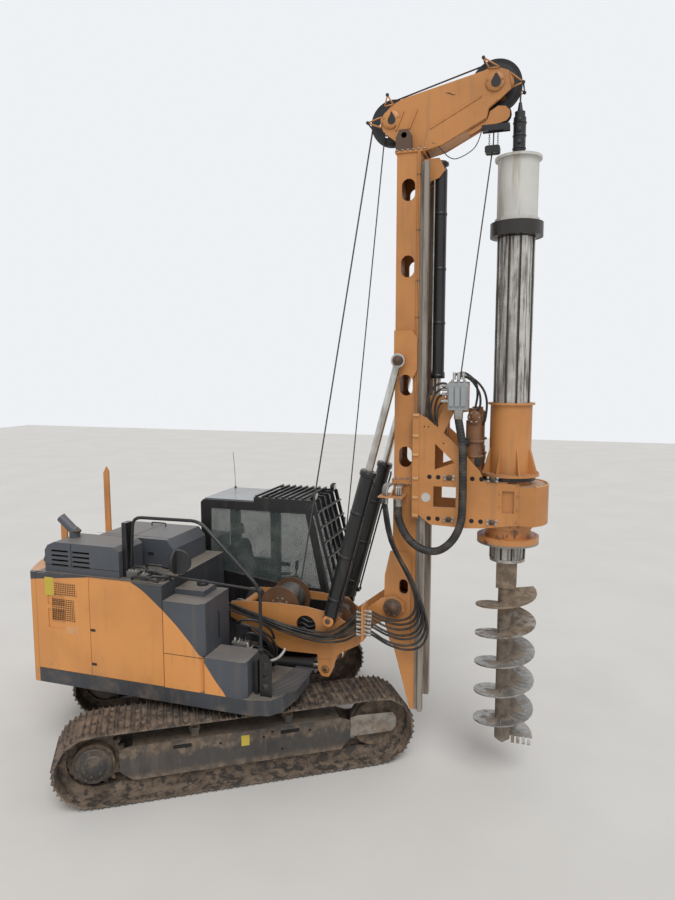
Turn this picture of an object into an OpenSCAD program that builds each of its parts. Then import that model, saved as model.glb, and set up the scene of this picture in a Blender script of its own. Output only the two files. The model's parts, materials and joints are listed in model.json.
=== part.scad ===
// Rotary pile drilling rig on tracks, as parked with its mast upright.
// Millimetres. +X runs forward along the upper structure, +Y to the cab side, +Z up.
// Heights count from the ground, and X and Y of the upper structure from the slewing axis.

/* [Tracks] */
// Distance from the sprocket's axis to the idler's axis
tumbler_dist = 3150; // [3000:10:3250]
// Distance between the centre lines of the tracks
track_gauge = 1990; // [1900:10:2150]
// Width of a track shoe
shoe_w = 600; // [500:10:600]
// Number of shoes in one track
shoe_count = 50; // [46:1:54]
// Height of a track over its grouser bars
track_h = 840; // [820:5:860]
// Height of the chain's link rails
link_h = 100; // [90:5:110]
// Thickness of a shoe's plate
shoe_t = 12; // [10:1:16]
// Height of the grouser bars on a shoe
bar_h = 26; // [18:1:32]
// Angle of the tracks to the upper structure
track_yaw = 32.8; // [20:0.2:40]
// Radius of a bottom roller's tread
roller_r = 85; // [75:1:90]
// Radius of a carrier roller's tread
carrier_r = 60; // [50:1:70]
// Width across a track frame's side plates
frame_w = 310; // [290:5:330]

/* [Carbody] */
// Radius of the slewing ring
slew_r = 560; // [500:10:620]
// Height of the carbody's underside
carbody_z = 390; // [360:10:420]

/* [Deck] */
// Height of the deck's underside
deck_z = 930; // [920:5:960]
// Depth of the deck with its skirt
deck_h = 170; // [140:5:200]
// Width of the upper structure
house_w = 2500; // [2450:10:2550]
// Radius swung by the counterweight
tail_r = 2290; // [2250:10:2350]
// Height of the tops of the side panels
panel_top = 2250; // [2200:10:2300]
// Depth of the counterweight, front to back
weight_d = 440; // [410:10:450]
// Distance from the slewing axis back to the seam between the side doors
seam_x = 1120; // [1060:10:1180]
// Distance from the slewing axis back to the front end of the side doors
shell_x = 180; // [150:5:220]
// Thickness of doors and walls
wall = 30; // [25:1:35]
// Gap round a door or a lid
door_gap = 6; // [5:1:8]

/* [Cab] */
// Width of the cab
cab_w = 950; // [920:5:950]
// Distance from the slewing axis back to the cab's rear wall
cab_rear = 550; // [520:10:560]
// Distance from the slewing axis forward to the foot of the windscreen
cab_foot = 1200; // [1150:10:1200]
// Distance from the slewing axis forward to the windscreen's top
cab_brow = 960; // [900:10:980]
// Height of the cab's roof
cab_top = 2900; // [2850:10:2950]
// Thickness of the cab's walls
cab_wall = 50; // [40:5:60]

/* [Boom] */
// Height of the boom's foot pin
foot_z = 1700; // [1680:5:1720]
// Distance from the slewing axis forward to the boom's foot pin
foot_x = 260; // [240:5:280]
// Distance between the outer faces of the boom's side plates
boom_w = 570; // [560:5:580]
// Thickness of the boom's side plates
boom_t = 25; // [20:1:30]
// Radius of the main winch's drum
drum_r = 170; // [150:5:190]

/* [Mast] */
// Distance from the slewing axis forward to the mast's pivot
pivot_x = 2160; // [2140:5:2180]
// Height of the mast's pivot
pivot_z = 1940; // [1920:5:1960]
// Width of the mast's box
mast_w = 440; // [420:10:460]
// Distance from the slewing axis forward to the mast's back
mast_back = 2140; // [2130:5:2150]
// Depth of the mast's box, front to back
mast_d = 250; // [240:5:260]
// Height of the mast's foot
mast_foot = 740; // [735:5:780]
// Height of the flange between the mast's two lengths
mast_flange = 3350; // [3300:10:3400]
// Height of the top of the mast's box
mast_top = 6800; // [6700:10:6850]
// Distance between the outer edges of the guide rails
rail_w = 530; // [510:5:540]
// Radius of the mast's pivot pin
pivot_r = 55; // [50:1:60]

/* [Mast cylinders] */
// Distance between the centre lines of the mast's cylinders
ram_gauge = 750; // [740:10:760]
// Radius of a mast cylinder's barrel
ram_r = 80; // [70:1:85]
// Radius of a mast cylinder's rod
ram_rod_r = 42; // [35:1:50]
// Radius of the pins that the cylinders turn on
pin_r = 35; // [30:1:38]

/* [Rotary drive] */
// Distance from the slewing axis forward to the drilling axis
drill_x = 3360; // [3350:5:3380]
// Radius of the drive's gear casing
casing_r = 410; // [380:5:420]
// Height of the gear casing's underside
casing_z = 2950; // [2930:10:2970]
// Height of the gear casing
casing_h = 450; // [430:10:460]
// Radius of the guide tube over the casing
guide_r = 217; // [215:1:225]
// Height of the guide tube's top flange
guide_top = 4220; // [4150:10:4250]

/* [Kelly bar] */
// Radius of the outer kelly bar over its drive ribs
kelly_r = 192; // [188:1:194]
// Height of the outer kelly bar's lower end
kelly_low = 2540; // [2520:10:2560]
// Height of the black stop ring's underside on the outer kelly bar
ring_z = 5920; // [5900:10:5940]
// Height of the white head's top
head_top = 6710; // [6690:10:6730]
// Wall of the kelly bars
kelly_t = 20; // [16:1:22]

/* [Auger] */
// Radius of the auger's flights
auger_r = 327; // [300:1:350]
// Rise of the flights in one turn
auger_pitch = 330; // [300:5:360]
// Radius of the auger's stem
stem_r = 85; // [75:1:95]
// Height of the auger's tip
auger_low = 400; // [380:10:450]

/* [Hidden] */
$fn = 48;

// Seating gap between pieces that rest on each other
seat = 0.3;
// Radial clearance of a pin in its bore
run = 0.05;
half_w = house_w / 2;
weight_x = tail_r - weight_d;
cab_y = half_w - cab_w;
deck_top = deck_z + deck_h;

// Track: the line through the chain's pins is two half circles and two straights
pin_line_r = track_h / 2 - bar_h - shoe_t - link_h / 2;
quarter = PI * pin_line_r / 2;
loop_len = 4 * quarter + 2 * tumbler_dist;
shoe_pitch = loop_len / shoe_count;
link_y = [40, 80];
sprocket_t = 60;
chain_in = pin_line_r - link_h / 2;
plate_in = pin_line_r + link_h / 2;

// A point of the pin line, s along it from the loop's front end
function pin_point(s) =
    let (p = s < 0 ? s + loop_len : s, l = tumbler_dist, r = pin_line_r, turn = 180 / PI / r)
    p < quarter ? [l / 2 + r * cos(p * turn), r * sin(p * turn)]
    : p < quarter + l ? [l / 2 - (p - quarter), r]
    : p < 3 * quarter + l ? [-l / 2 + r * cos((p - l) * turn), r * sin((p - l) * turn)]
    : p < 3 * quarter + 2 * l ? [-l / 2 + (p - 3 * quarter - l), -r]
    : [l / 2 + r * cos((p - 2 * l) * turn), r * sin((p - 2 * l) * turn)];

// A point of shoe k, which lies between two pins: t along it, h outward from the pins
function shoe_point(k, t, h) =
    let (a = pin_point((k - 0.5) * shoe_pitch), b = pin_point((k + 0.5) * shoe_pitch),
        u = (b - a) / norm(b - a), m = (a + b) / 2)
    [m[0] + u[0] * t + u[1] * h, m[1] + u[1] * t - u[0] * h];

// Columns: place along the shoe as a share of its half, height over the plate
shoe_profile = [
    [-0.96, 0], [-0.8, 1], [-0.64, 0], [-0.16, 0], [0, 1], [0.16, 0], [0.64, 0], [0.8, 1], [0.96, 0],
];
shoe_line = [
    for (k = [0:shoe_count - 1], p = shoe_profile)
        shoe_point(k, p[0] * shoe_pitch / 2, link_h / 2 + shoe_t + p[1] * bar_h)
];
plate_line = [
    for (k = [0:shoe_count - 1])
        let (p = shoe_point(k, shoe_pitch / 2, link_h / 2), q = shoe_point(k + 1, -shoe_pitch / 2, link_h / 2))
        (p + q) / 2
];

// The origin is the middle of the rig's box on the ground
track_half = track_gauge / 2 + shoe_w / 2;
reach_back = -min([for (p = shoe_line) p[0]]);
reach_front = max([for (p = shoe_line) p[0]]);
x_back = -reach_back * cos(track_yaw) - track_half * sin(track_yaw);
x_front = drill_x + casing_r;
y_left = reach_front * sin(track_yaw) + track_half * cos(track_yaw);
y_right = -reach_back * sin(track_yaw) - track_half * cos(track_yaw);
origin_x = (x_back + x_front) / 2;
origin_y = (y_left + y_right) / 2;

// Linkage points in the plane of the boom, as [x, z]
foot = [foot_x, foot_z];
pivot = [pivot_x, pivot_z];
ram_base = [1440, 1740];
ram_eye = [2210, 4660];
lift_base = [450, 1025];
lift_eye = [1360, 1100];
ram_len = norm(ram_eye - ram_base);
lift_len = norm(lift_eye - lift_base);
eye_gap = 6;
// Widths of the cylinders' eyes and of the pins through them
eye_w = 60;

mast_front = mast_back + mast_d;
rail_x = mast_front + 50;
rail_t = 45;
crowd_x = 2565;
crowd_r = 70;
crowd_low = 4470;
crowd_high = 6760;
crowd_eye = 4200;

casing_top = casing_z + casing_h;
sleeve_in = kelly_r + 8;
sleeve_out = sleeve_in + 22;
bore_gap = 6;

rear_sheave = [2050, 7180, 240];
front_sheave = [drill_x - 243, 7430, 260];
aux_sheave_at = [3190, 7125, 92];
rope_r = 9;

// Hoses. Columns: x, y, z. The bulkhead on the boom and the manifold on the mast take their ends
bulkhead_x = 1850;
manifold_z = 3200;
hose_r = 20;
loop_r = 42;
boom_hose_line = [
    [-179.7, -440, 1830, 60], [-90, -440, 1830, 60], [150, -430, 1795, 50], [450, -412, 1715, 40],
    [800, -398, 1610, 40], [1150, -388, 1540, 40], [1430, -386, 1535, 45], [1640, -405, 1630, 90],
    [1780, -430, 1760, 130], [1849.7, -430, 1760, 130],
];
mast_hose_outer = [
    [1870.3, -430, 1640], [1950, -430, 1640], [2130, -430, 1550], [2330, -430, 1515], [2500, -430, 1580],
    [2575, -430, 1760], [2540, -430, 1980], [2400, -430, 2310], [2200, -430, 2680], [2110, -430, 3100],
    [2110, -430, 3199.7],
];
mast_hose_inner = [
    [1870.3, -385, 1890], [1950, -385, 1890], [2090, -385, 1845], [2230, -385, 1830], [2370, -385, 1880],
    [2427, -380, 1990], [2405, -375, 2140], [2320, -360, 2350], [2120, -350, 2720], [2050, -350, 3100],
    [2050, -350, 3199.7],
];
loop_line = [
    [2230, -395, 3199.7], [2230, -395, 3110], [2235, -400, 2990], [2275, -400, 2870], [2345, -400, 2760],
    [2440, -400, 2680], [2560, -400, 2640], [2680, -400, 2655], [2790, -400, 2740], [2865, -400, 2860],
    [2905, -400, 3000], [2915, -400, 3200], [2912, -400, 3480], [2900, -390, 3780], [2850, -365, 4060],
    [2850, -365, 4149.7],
];
hose_block_at = [[2745, -420, 4150], [2945, -302, 4430]];

middle_r = kelly_r - kelly_t - 38;
inner_r = middle_r - kelly_t - 12;
auger_top = 2230;

module place() translate([-origin_x, -origin_y, 0]) children();

// An outline in X and Z carried from y0 to y1
module side(y0, y1) translate([0, y1, 0]) rotate([90, 0, 0]) linear_extrude(y1 - y0) children();

// The same on both sides of the centre line
module both(y0, y1) {
    side(y0, y1) children();
    side(-y1, -y0) children();
}

// A cylinder along Y through the point p = [x, z]
module pin_y(p, r, y0, y1) translate([p[0], y1, p[1]]) rotate([90, 0, 0]) cylinder(r = r, h = y1 - y0);

// A frame at p = [x, z] and y whose Z axis points towards q
module towards(p, q, y) translate([p[0], y, p[1]])
    rotate([0, 90 - atan2(q[1] - p[1], q[0] - p[0]), 0]) children();

// A frame in line with the tracks, at the height of their axes
module tracked(hand) place() rotate([0, 0, track_yaw])
    translate([0, 0, track_h / 2]) mirror([0, hand < 0 ? 1 : 0, 0])
        translate([0, track_gauge / 2, 0]) children();

module stadium(r) hull() for (s = [-1, 1]) translate([s * tumbler_dist / 2, 0]) circle(r = r, $fn = 24);

module carbody() color("dimgray") place() rotate([0, 0, track_yaw]) {
    leg_y = track_gauge / 2 - frame_w / 2;
    translate([0, 0, carbody_z]) linear_extrude(190) union() {
        square([900, 800], center = true);
        for (sx = [-1, 1], sy = [-1, 1])
            polygon([[sx * 150, sy * 300], [sx * 450, sy * 200], [sx * 960, sy * leg_y],
                [sx * 560, sy * leg_y]]);
    }
    translate([0, 0, carbody_z + 190]) cylinder(r = slew_r + 60, h = 200);
    translate([0, 0, carbody_z + 390]) cylinder(r = slew_r, h = deck_z - seat - carbody_z - 390);
}

module track_frame(hand) tracked(hand) {
    half = frame_w / 2;
    t = 25;
    x_end = tumbler_dist / 2;
    // The side plates carry the rollers between them, and the fork holds the idler
    for (s = [-1, 1]) side(s > 0 ? half - t : -half, s > 0 ? half : -half + t)
        polygon([
            [-x_end + (s > 0 ? 260 : 0), -120], [-1180, -232], [1130, -232], [1260, -90],
            [x_end + 70, -90], [x_end + 70, 90], [1260, 90], [1120, 150],
            [-1180, 150], [-x_end + (s > 0 ? 260 : 0), 120],
        ]);
    side(-half + t, half - t) polygon([[-1180, 125], [1120, 125], [1120, 150], [-1180, 150]]);
    side(-half + t, half - t) polygon([[-1180, -70], [1120, -70], [1120, -50], [-1180, -50]]);
    // Carrier roller brackets
    for (x = [-520, 520], s = [-1, 1]) translate([x - 40, s > 0 ? 112 : -130, 150])
        cube([80, 18, chain_in - carrier_r + 30 - 150]);
    // Travel motor
    pin_y([-x_end, 0], 170, -half - 110, -half);
    pin_y([-x_end, 0], 150, -half, -sprocket_t / 2 - seat);
}
module frame_right() color("dimgray") track_frame(-1);
module frame_left() color("dimgray") track_frame(1);

module track_loop(hand) tracked(hand) {
    side(-shoe_w / 2, shoe_w / 2) difference() {
        polygon(shoe_line);
        polygon(plate_line);
    }
    for (s = [0, 1]) side(s > 0 ? link_y[0] : -link_y[1], s > 0 ? link_y[1] : -link_y[0])
        difference() {
            stadium(plate_in + 0.5);
            stadium(chain_in);
        }
}
module track_right() color("saddlebrown") track_loop(-1);
module track_left() color("saddlebrown") track_loop(1);

module wheel_set(hand) tracked(hand) {
    half = frame_w / 2 - 25;
    teeth = 21;
    // Sprocket between the link rails, with the hub on its outer side
    translate([-tumbler_dist / 2, 0, 0]) rotate([90, 0, 0]) {
        translate([0, 0, -sprocket_t / 2]) linear_extrude(sprocket_t) polygon([
            for (k = [0:teeth - 1], p = [[-0.3, 0], [-0.12, 1], [0.12, 1], [0.3, 0]])
                let (a = (k + p[0]) * 360 / teeth, r = chain_in - 8 + p[1] * 48) [r * cos(a), r * sin(a)]
        ]);
        translate([0, 0, -130]) cylinder(r = 215, h = 130 - sprocket_t / 2);
        translate([0, 0, -190]) cylinder(r = 180, h = 60);
    }
    // Idler in the front fork
    pin_y([tumbler_dist / 2, 0], chain_in * cos(180 / 24) - seat, -link_y[1], link_y[1]);
    pin_y([tumbler_dist / 2, 0], chain_in + 22, -30, 30);
    pin_y([tumbler_dist / 2, 0], 50, -half, half);
    for (k = [-3:3]) translate([k * 360, 0, -chain_in + roller_r + seat]) {
        pin_y([0, 0], roller_r, -link_y[1], link_y[1]);
        pin_y([0, 0], 32, -half, half);
        for (s = [-1, 1]) pin_y([0, 0], roller_r + 14, s > 0 ? 84 : -104, s > 0 ? 104 : -84);
    }
    for (x = [-520, 520]) translate([x, 0, chain_in - carrier_r - seat]) {
        pin_y([0, 0], carrier_r, -link_y[1], link_y[1]);
        pin_y([0, 0], 24, -112, 112);
    }
}
module wheels_right() color("gray") wheel_set(-1);
module wheels_left() color("gray") wheel_set(1);

nose_x = 1190;
slot_w = 720;
// Outer faces of the boom foot brackets, inside the boom's plates
bracket_y = boom_w / 2 - boom_t - 5;
module deck() color("dimgray") place() {
    difference() {
        translate([0, 0, deck_z]) linear_extrude(deck_h) difference() {
            polygon([
                [-weight_x, -half_w], [820, -half_w], [1050, -1190], [1140, -1050], [nose_x, -760],
                [nose_x, -slot_w / 2], [nose_x, cab_y], [1240, cab_y + 100], [1240, half_w - 120],
                [1140, half_w], [-weight_x, half_w],
            ]);
            // The boom's cylinders work in this slot
            translate([300, -slot_w / 2]) square([nose_x - 300 + 10, slot_w]);
        }
    }
    // Boom foot brackets
    for (s = [-1, 1]) {
        y0 = s > 0 ? bracket_y - 40 : -bracket_y;
        difference() {
            side(y0, y0 + 40) hull() {
                translate([-shell_x + 10, deck_top - 1]) square([shell_x + 380, 10]);
                translate(foot) circle(r = 115);
            }
            pin_y(foot, 50 + run, y0 - 5, y0 + 45);
        }
    }
    // Lugs for the boom's cylinders
    for (s = [-1, 1]) pin_y(lift_base, pin_r, s > 0 ? 120 : -240, s > 0 ? 240 : -120);
    for (y = [-260, -120, 100, 240]) side(y, y + 20) polygon([
        [250, deck_z], [lift_base[0] + 10, deck_z], [lift_base[0] + 40, deck_z + 55],
        [lift_base[0] + 40, deck_z + 125], [lift_base[0] + 10, deck_top], [250, deck_top],
    ]);
}

module counterweight() color("sandybrown") place() {
    intersection() {
        translate([0, 0, deck_z]) linear_extrude(panel_top - deck_z) intersection() {
            circle(r = tail_r, $fn = 96);
            translate([-tail_r - 10, -half_w]) square([tail_r + 10 - weight_x, house_w]);
        }
        side(-half_w - 1, half_w + 1) polygon([
            [-weight_x, deck_z], [-weight_x - 300, deck_z], [-tail_r - 5, deck_z + 130],
            [-tail_r - 5, panel_top - 250], [-tail_r + 90, panel_top], [-weight_x, panel_top],
        ]);
    }
}

// The house behind the cab and beside it: walls, bulkhead and top, with door openings
rebate = 20;
left_front = 900;
hood_x = [-weight_x + 290, -400];
hood_y = [-640, 130];
module house_shell() color("dimgray") place() {
    z1 = panel_top;
    skin = half_w - wall - seat;
    difference() {
        translate([0, 0, deck_top]) linear_extrude(z1 - deck_top) polygon([
            [-weight_x, -skin], [-shell_x, -skin], [-shell_x, 200], [-620, 200],
            [-620, skin], [-weight_x, skin],
        ]);
        translate([0, 0, deck_top]) linear_extrude(z1 - deck_top - wall) polygon([
            [-weight_x + wall, -skin + wall], [-shell_x - wall, -skin + wall],
            [-shell_x - wall, 170], [-650, 170], [-650, skin - wall], [-weight_x + wall, skin - wall],
        ]);
        // Door openings
        door_hole(-weight_x, -seam_x, -1);
        door_hole(-seam_x, -shell_x, -1);
        door_hole(-weight_x, -left_front, 1);
        translate([hood_x[0] + rebate, hood_y[0] + rebate, z1 - 100])
            cube([hood_x[1] - hood_x[0] - 2 * rebate, hood_y[1] - hood_y[0] - 2 * rebate, 200]);
    }
    // Fixed panel between the left door and the cab
    translate([-left_front + door_gap / 2, half_w - wall - seat, deck_top])
        cube([left_front - 620 - door_gap / 2, wall, z1 - deck_top]);
}
module door_hole(x0, x1, hand) translate([x0 + rebate + 30, hand > 0 ? half_w - 200 : -half_w - 100, deck_top + 50])
    cube([x1 - x0 - 2 * rebate - 60, 300, panel_top - deck_top - 110]);

// A door panel from x0 to x1 on the right side, or on the left side with hand = 1
module door_panel(x0, x1, hand) translate([x0 + door_gap / 2, hand > 0 ? half_w - wall : -half_w, deck_top + door_gap])
    cube([x1 - x0 - door_gap, wall, panel_top - deck_top - 2 * door_gap]);
module side_door_rear() color("sandybrown") place() difference() {
    door_panel(-weight_x, -seam_x, -1);
    // Two vents
    for (z = [1610, 1880]) translate([-weight_x + 160, -half_w - 10, z]) cube([230, 20, z > 1700 ? 130 : 220]);
}
module side_door_front() color("sandybrown") place() door_panel(-seam_x, -shell_x, -1);
module left_door() color("sandybrown") place() door_panel(-weight_x, -left_front, 1);

module engine_hood() color("slategray") place() {
    h = 330;
    translate([0, 0, panel_top + seat]) difference() {
        side(hood_y[0], hood_y[1]) polygon([
            [hood_x[0], 0], [hood_x[1], 0], [hood_x[1], h - 110], [hood_x[1] - 90, h],
            [hood_x[0] + 150, h], [hood_x[0], h - 150],
        ]);
        translate([hood_x[0] + 25, hood_y[0] + 25, -1])
            cube([hood_x[1] - hood_x[0] - 50, hood_y[1] - hood_y[0] - 50, h - 170]);
    }
}

air_x = [-weight_x + 90, -weight_x + 1090];
air_y = [-1180, -720];
module air_box() color("slategray") place() translate([0, 0, panel_top]) difference() {
    side(air_y[0], air_y[1]) polygon([
        [air_x[0], 0], [air_x[1], 0], [air_x[1], 300], [air_x[1] - 60, 350], [air_x[0] + 130, 350],
        [air_x[0] + 40, 310], [air_x[0], 250],
    ]);
    translate([air_x[0] + 30, air_y[0] + 30, 20]) cube([air_x[1] - air_x[0] - 60, air_y[1] - air_y[0] - 60, 250]);
    // Two columns of louvre slots
    for (x = [air_x[0] + 90, air_x[0] + 380], k = [0:3]) translate([x, air_y[0] - 10, 70 + k * 55])
        cube([230, 60, 26]);
}

module exhaust() color("dimgray") place() {
    translate([hood_x[0], -900, panel_top + 350]) cylinder(r = 62, h = 70);
    translate([hood_x[0], -900, panel_top + 420]) rotate([0, -50, 0]) cylinder(r = 55, h = 240);
    translate([hood_x[0], -900, panel_top + 420]) sphere(r = 62);
}

module engine() color("gray") place() translate([hood_x[0] + 60, -350, deck_top]) cube([700, 1100, 900]);

tank_x = [-180, 310];
module tank() color("slategray") place() {
    x0 = -shell_x + door_gap;
    translate([0, 0, deck_top]) linear_extrude(980) polygon([
        [x0, -half_w], [tank_x[1] - 60, -half_w], [tank_x[1], -half_w + 60],
        [tank_x[1], -640], [x0, -640],
    ]);
    // Raised lid
    translate([x0, -1000, deck_top + 980]) cube([tank_x[1] - x0 - 120, 300, 60]);
}

step_x = [316, 800];
module step_box() color("slategray") place() translate([0, 0, deck_top]) linear_extrude(400) polygon([
    [step_x[0], -half_w], [step_x[1] - 50, -half_w], [step_x[1], -half_w + 50], [step_x[1], -860],
    [step_x[0], -860],
]);

// Columns: x, y, z of the handrail's bends
rail_y = -1050;
rail_path = [
    [890, rail_y, deck_top], [890, rail_y, 2260], [190, rail_y, 2940], [-650, rail_y, 2930],
    [-700, rail_y, 2300],
];
// A path with its corners rounded, each from d before it to d after it in n steps
function bend(path, d, n) = let (last = len(path) - 1) concat(
    [path[0]],
    [for (k = [1:last - 1], j = [0:n])
        let (b = path[k], t = j / n, a = b + d * (path[k - 1] - b) / norm(path[k - 1] - b),
            c = b + d * (path[k + 1] - b) / norm(path[k + 1] - b))
        (1 - t) * (1 - t) * a + 2 * t * (1 - t) * b + t * t * c],
    [path[last]]
);
function unit(v) = v / norm(v);

// A round bar or hose along a path, with its rings set out from the direction ref
module swept(path, r, sides, ref = [0, 1, 0]) {
    n = len(path);
    points = [
        for (k = [0:n - 1])
            let (t = unit(path[min(k + 1, n - 1)] - path[max(k - 1, 0)]),
                u = unit(cross(t, ref)), v = cross(t, u))
            for (j = [0:sides - 1]) path[k] + r * (cos(j * 360 / sides) * u + sin(j * 360 / sides) * v)
    ];
    faces = concat(
        [[for (j = [0:sides - 1]) j]],
        [for (k = [0:n - 2], j = [0:sides - 1])
            let (m = (j + 1) % sides, a = k * sides, b = a + sides) [a + j, b + j, b + m, a + m]],
        [[for (j = [0:sides - 1]) n * sides - 1 - j]]
    );
    polyhedron(points = points, faces = faces, convexity = 10);
}
module handrail_bar(a, b, r) translate(a)
    rotate([0, acos((b[2] - a[2]) / norm(b - a)), atan2(b[1] - a[1], b[0] - a[0])])
        cylinder(r = r, h = norm(b - a), $fn = 10);
module handrail() color("black") place() {
    swept(bend(rail_path, 110, 4), 19, 10);
    handrail_bar([-690, rail_y, 2320], [886, rail_y, 2240], 14);
    translate([-760, rail_y - 60, panel_top]) cube([60, 120, 620]);
    translate([830, rail_y - 50, deck_top]) cube([40, 100, 380]);
    // Toe plate beside the step, with three slots
    side(rail_y - 72, rail_y - 60) difference() {
        polygon([[905, deck_top], [1040, deck_top], [1040, 1500], [985, 1560], [905, 1560]]);
        for (z = [1180, 1300, 1420]) translate([940, z]) square([60, 60]);
    }
}

module side_mirror() color("black") place() {
    translate([-80, rail_y + 15, 2465]) rotate([90, 0, 10]) cylinder(r = 135, h = 30);
    translate([-80, rail_y, 2304]) cylinder(r = 10, h = 60);
}

// Columns: y, x of the foot, height over the counterweight
rest_posts = [[500, -tail_r + 160, 980], [-500, -tail_r + 250, 520]];
module mast_rest() color("orange") place() for (p = rest_posts) {
    translate([p[1] - 60, p[0] - 45, panel_top]) cube([120, 90, 20]);
    side(p[0] - 12, p[0] + 12) polygon([
        [p[1] - 45, panel_top + 20], [p[1] + 45, panel_top + 20], [p[1] + 40, panel_top + p[2] - 60],
        [p[1] + 5, panel_top + p[2]], [p[1] - 45, panel_top + p[2] - 90],
    ]);
}

// Cab outlines in X and Z
cab_base = deck_top + seat;
cab_side = [
    [-cab_rear, cab_base], [cab_foot, cab_base], [cab_foot, 1800], [cab_brow, cab_top - 60],
    [cab_brow - 60, cab_top], [-cab_rear + 40, cab_top], [-cab_rear, cab_top - 40],
];
door_x = [120, 1090];
window_low = 1850;
module cab_shell() color("black") place() {
    y0 = cab_y;
    y1 = cab_y + cab_w;
    difference() {
        side(y0, y1) polygon(cab_side);
        side(y0 + cab_wall, y1 - cab_wall) offset(delta = -cab_wall) polygon(cab_side);
        // Right window
        side(y0 - 10, y0 + cab_wall + 10) polygon([
            [-cab_rear + 130, window_low + 150], [650, window_low + 10], [cab_foot - 100, window_low],
            [cab_brow - 55, cab_top - 110], [-cab_rear + 130, cab_top - 110],
        ]);
        // Left rear quarter window
        side(y1 - cab_wall - 10, y1 + 10) polygon([
            [-cab_rear + 110, window_low + 60], [door_x[0] - 80, window_low + 60],
            [door_x[0] - 80, cab_top - 110], [-cab_rear + 110, cab_top - 110],
        ]);
        // Door opening
        side(y1 - cab_wall - 10, y1 + 10) polygon([
            [door_x[0], cab_base + 70], [door_x[1], cab_base + 70], [door_x[1], 1790],
            [cab_brow - 90, cab_top - 90], [door_x[0], cab_top - 90],
        ]);
        // Windscreen, rear window and roof hatch
        translate([cab_foot - 300, y0 + cab_wall + 20, 1560])
            cube([400, cab_w - 2 * cab_wall - 40, cab_top - 1700]);
        translate([-cab_rear - 10, y0 + 120, 2050]) cube([cab_wall + 20, cab_w - 240, cab_top - 2180]);
        translate([-200, y0 + 160, cab_top - 100]) cube([560, cab_w - 320, 200]);
    }
}
module cab_glass() color("lightblue", 0.4) place() {
    y0 = cab_y + 20;
    y1 = cab_y + cab_w - 26;
    side(y0, y0 + 6) polygon([
        [-cab_rear + 130 + seat, window_low + 150 + seat], [650, window_low + 10 + seat],
        [cab_foot - 101, window_low + seat], [cab_brow - 56, cab_top - 110 - seat],
        [-cab_rear + 130 + seat, cab_top - 110 - seat],
    ]);
    side(y1, y1 + 6) polygon([
        [-cab_rear + 110 + seat, window_low + 60 + seat], [door_x[0] - 80 - seat, window_low + 60 + seat],
        [door_x[0] - 80 - seat, cab_top - 110 - seat], [-cab_rear + 110 + seat, cab_top - 110 - seat],
    ]);
    translate([-cab_rear + 20, cab_y + 120 + seat, 2050 + seat])
        cube([6, cab_w - 240 - 2 * seat, cab_top - 2180 - 2 * seat]);
    translate([-200 + seat, cab_y + 160 + seat, cab_top - 30])
        cube([560 - 2 * seat, cab_w - 320 - 2 * seat, 6]);
    // Windscreen in the plane of the front pillars
    side(cab_y + cab_wall + 20 + seat, cab_y + cab_w - cab_wall - 20 - seat) polygon([
        [cab_foot - 30, 1560 + seat], [cab_foot - 24, 1560 + seat], [cab_foot - 24, 1800],
        [cab_brow + 30, cab_top - 140 - seat], [cab_brow + 24, cab_top - 140 - seat],
        [cab_foot - 30, 1800],
    ]);
}
module cab_door() color("black") place() {
    y1 = cab_y + cab_w;
    difference() {
        side(y1 + seat, y1 + seat + 40) polygon([
            [door_x[0] - 20, cab_base + 50], [door_x[1] + 20, cab_base + 50], [door_x[1] + 20, 1800],
            [cab_brow - 70, cab_top - 70], [door_x[0] - 20, cab_top - 70],
        ]);
        side(y1 - 5, y1 + 50) polygon([
            [door_x[0] + 50, 1500], [door_x[1] - 50, 1500], [door_x[1] - 50, 1790],
            [cab_brow - 140, cab_top - 140], [door_x[0] + 50, cab_top - 140],
        ]);
    }
}
module door_glass() color("lightblue", 0.4) place() side(cab_y + cab_w + 17, cab_y + cab_w + 23) polygon([
    [door_x[0] + 50 + seat, 1500 + seat], [door_x[1] - 50 - seat, 1500 + seat], [door_x[1] - 50 - seat, 1790],
    [cab_brow - 140 - seat, cab_top - 140 - seat], [door_x[0] + 50 + seat, cab_top - 140 - seat],
]);

// Front bars in line with the windscreen, and roof bars over the hatch on two side rails
guard_y = [cab_y + 10, cab_y + cab_w - 10];
module cab_guard() color("black") place() {
    y0 = guard_y[0];
    y1 = guard_y[1];
    for (y = [y0 : (y1 - y0 - 20) / 5 : y1 - 20]) side(y, y + 20) polygon([
        [cab_foot + seat, 1650], [cab_foot + 110, 1650], [cab_foot + 110, 1800],
        [cab_brow + 60, cab_top + 60], [cab_brow - 60, cab_top + 60], [cab_brow - 60, cab_top + 20],
        [cab_brow + 20, cab_top + 20], [cab_foot + 70, 1810], [cab_foot + seat, 1800],
    ]);
    for (k = [0:5]) translate([cab_foot + 66 - k * 44, y0, 1860 + k * 190]) cube([30, y1 - y0, 18]);
}
module roof_guard() color("black") place() {
    y0 = guard_y[0];
    y1 = guard_y[1];
    for (y = [y0, y1 - 40]) translate([cab_brow - 760, y, cab_top]) cube([700 - seat, 40, 60]);
    for (k = [0:7]) translate([cab_brow - 740 + k * 90, y0, cab_top + 60]) cube([20, y1 - y0, 25]);
}

module operator_seat() color("darkgreen") place() {
    y = cab_y + cab_w / 2;
    translate([-60, y - 150, cab_base + cab_wall]) cube([400, 300, 350]);
    translate([-100, y - 250, cab_base + cab_wall + 350]) cube([520, 500, 140]);
    side(y - 240, y + 240) polygon([
        [-120, cab_base + 540], [20, cab_base + 540], [-60, cab_base + 1250], [-180, cab_base + 1250],
    ]);
    for (s = [-1, 1]) translate([60, y + s * 330 - 60, cab_base + cab_wall]) cube([480, 120, 620]);
}

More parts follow.
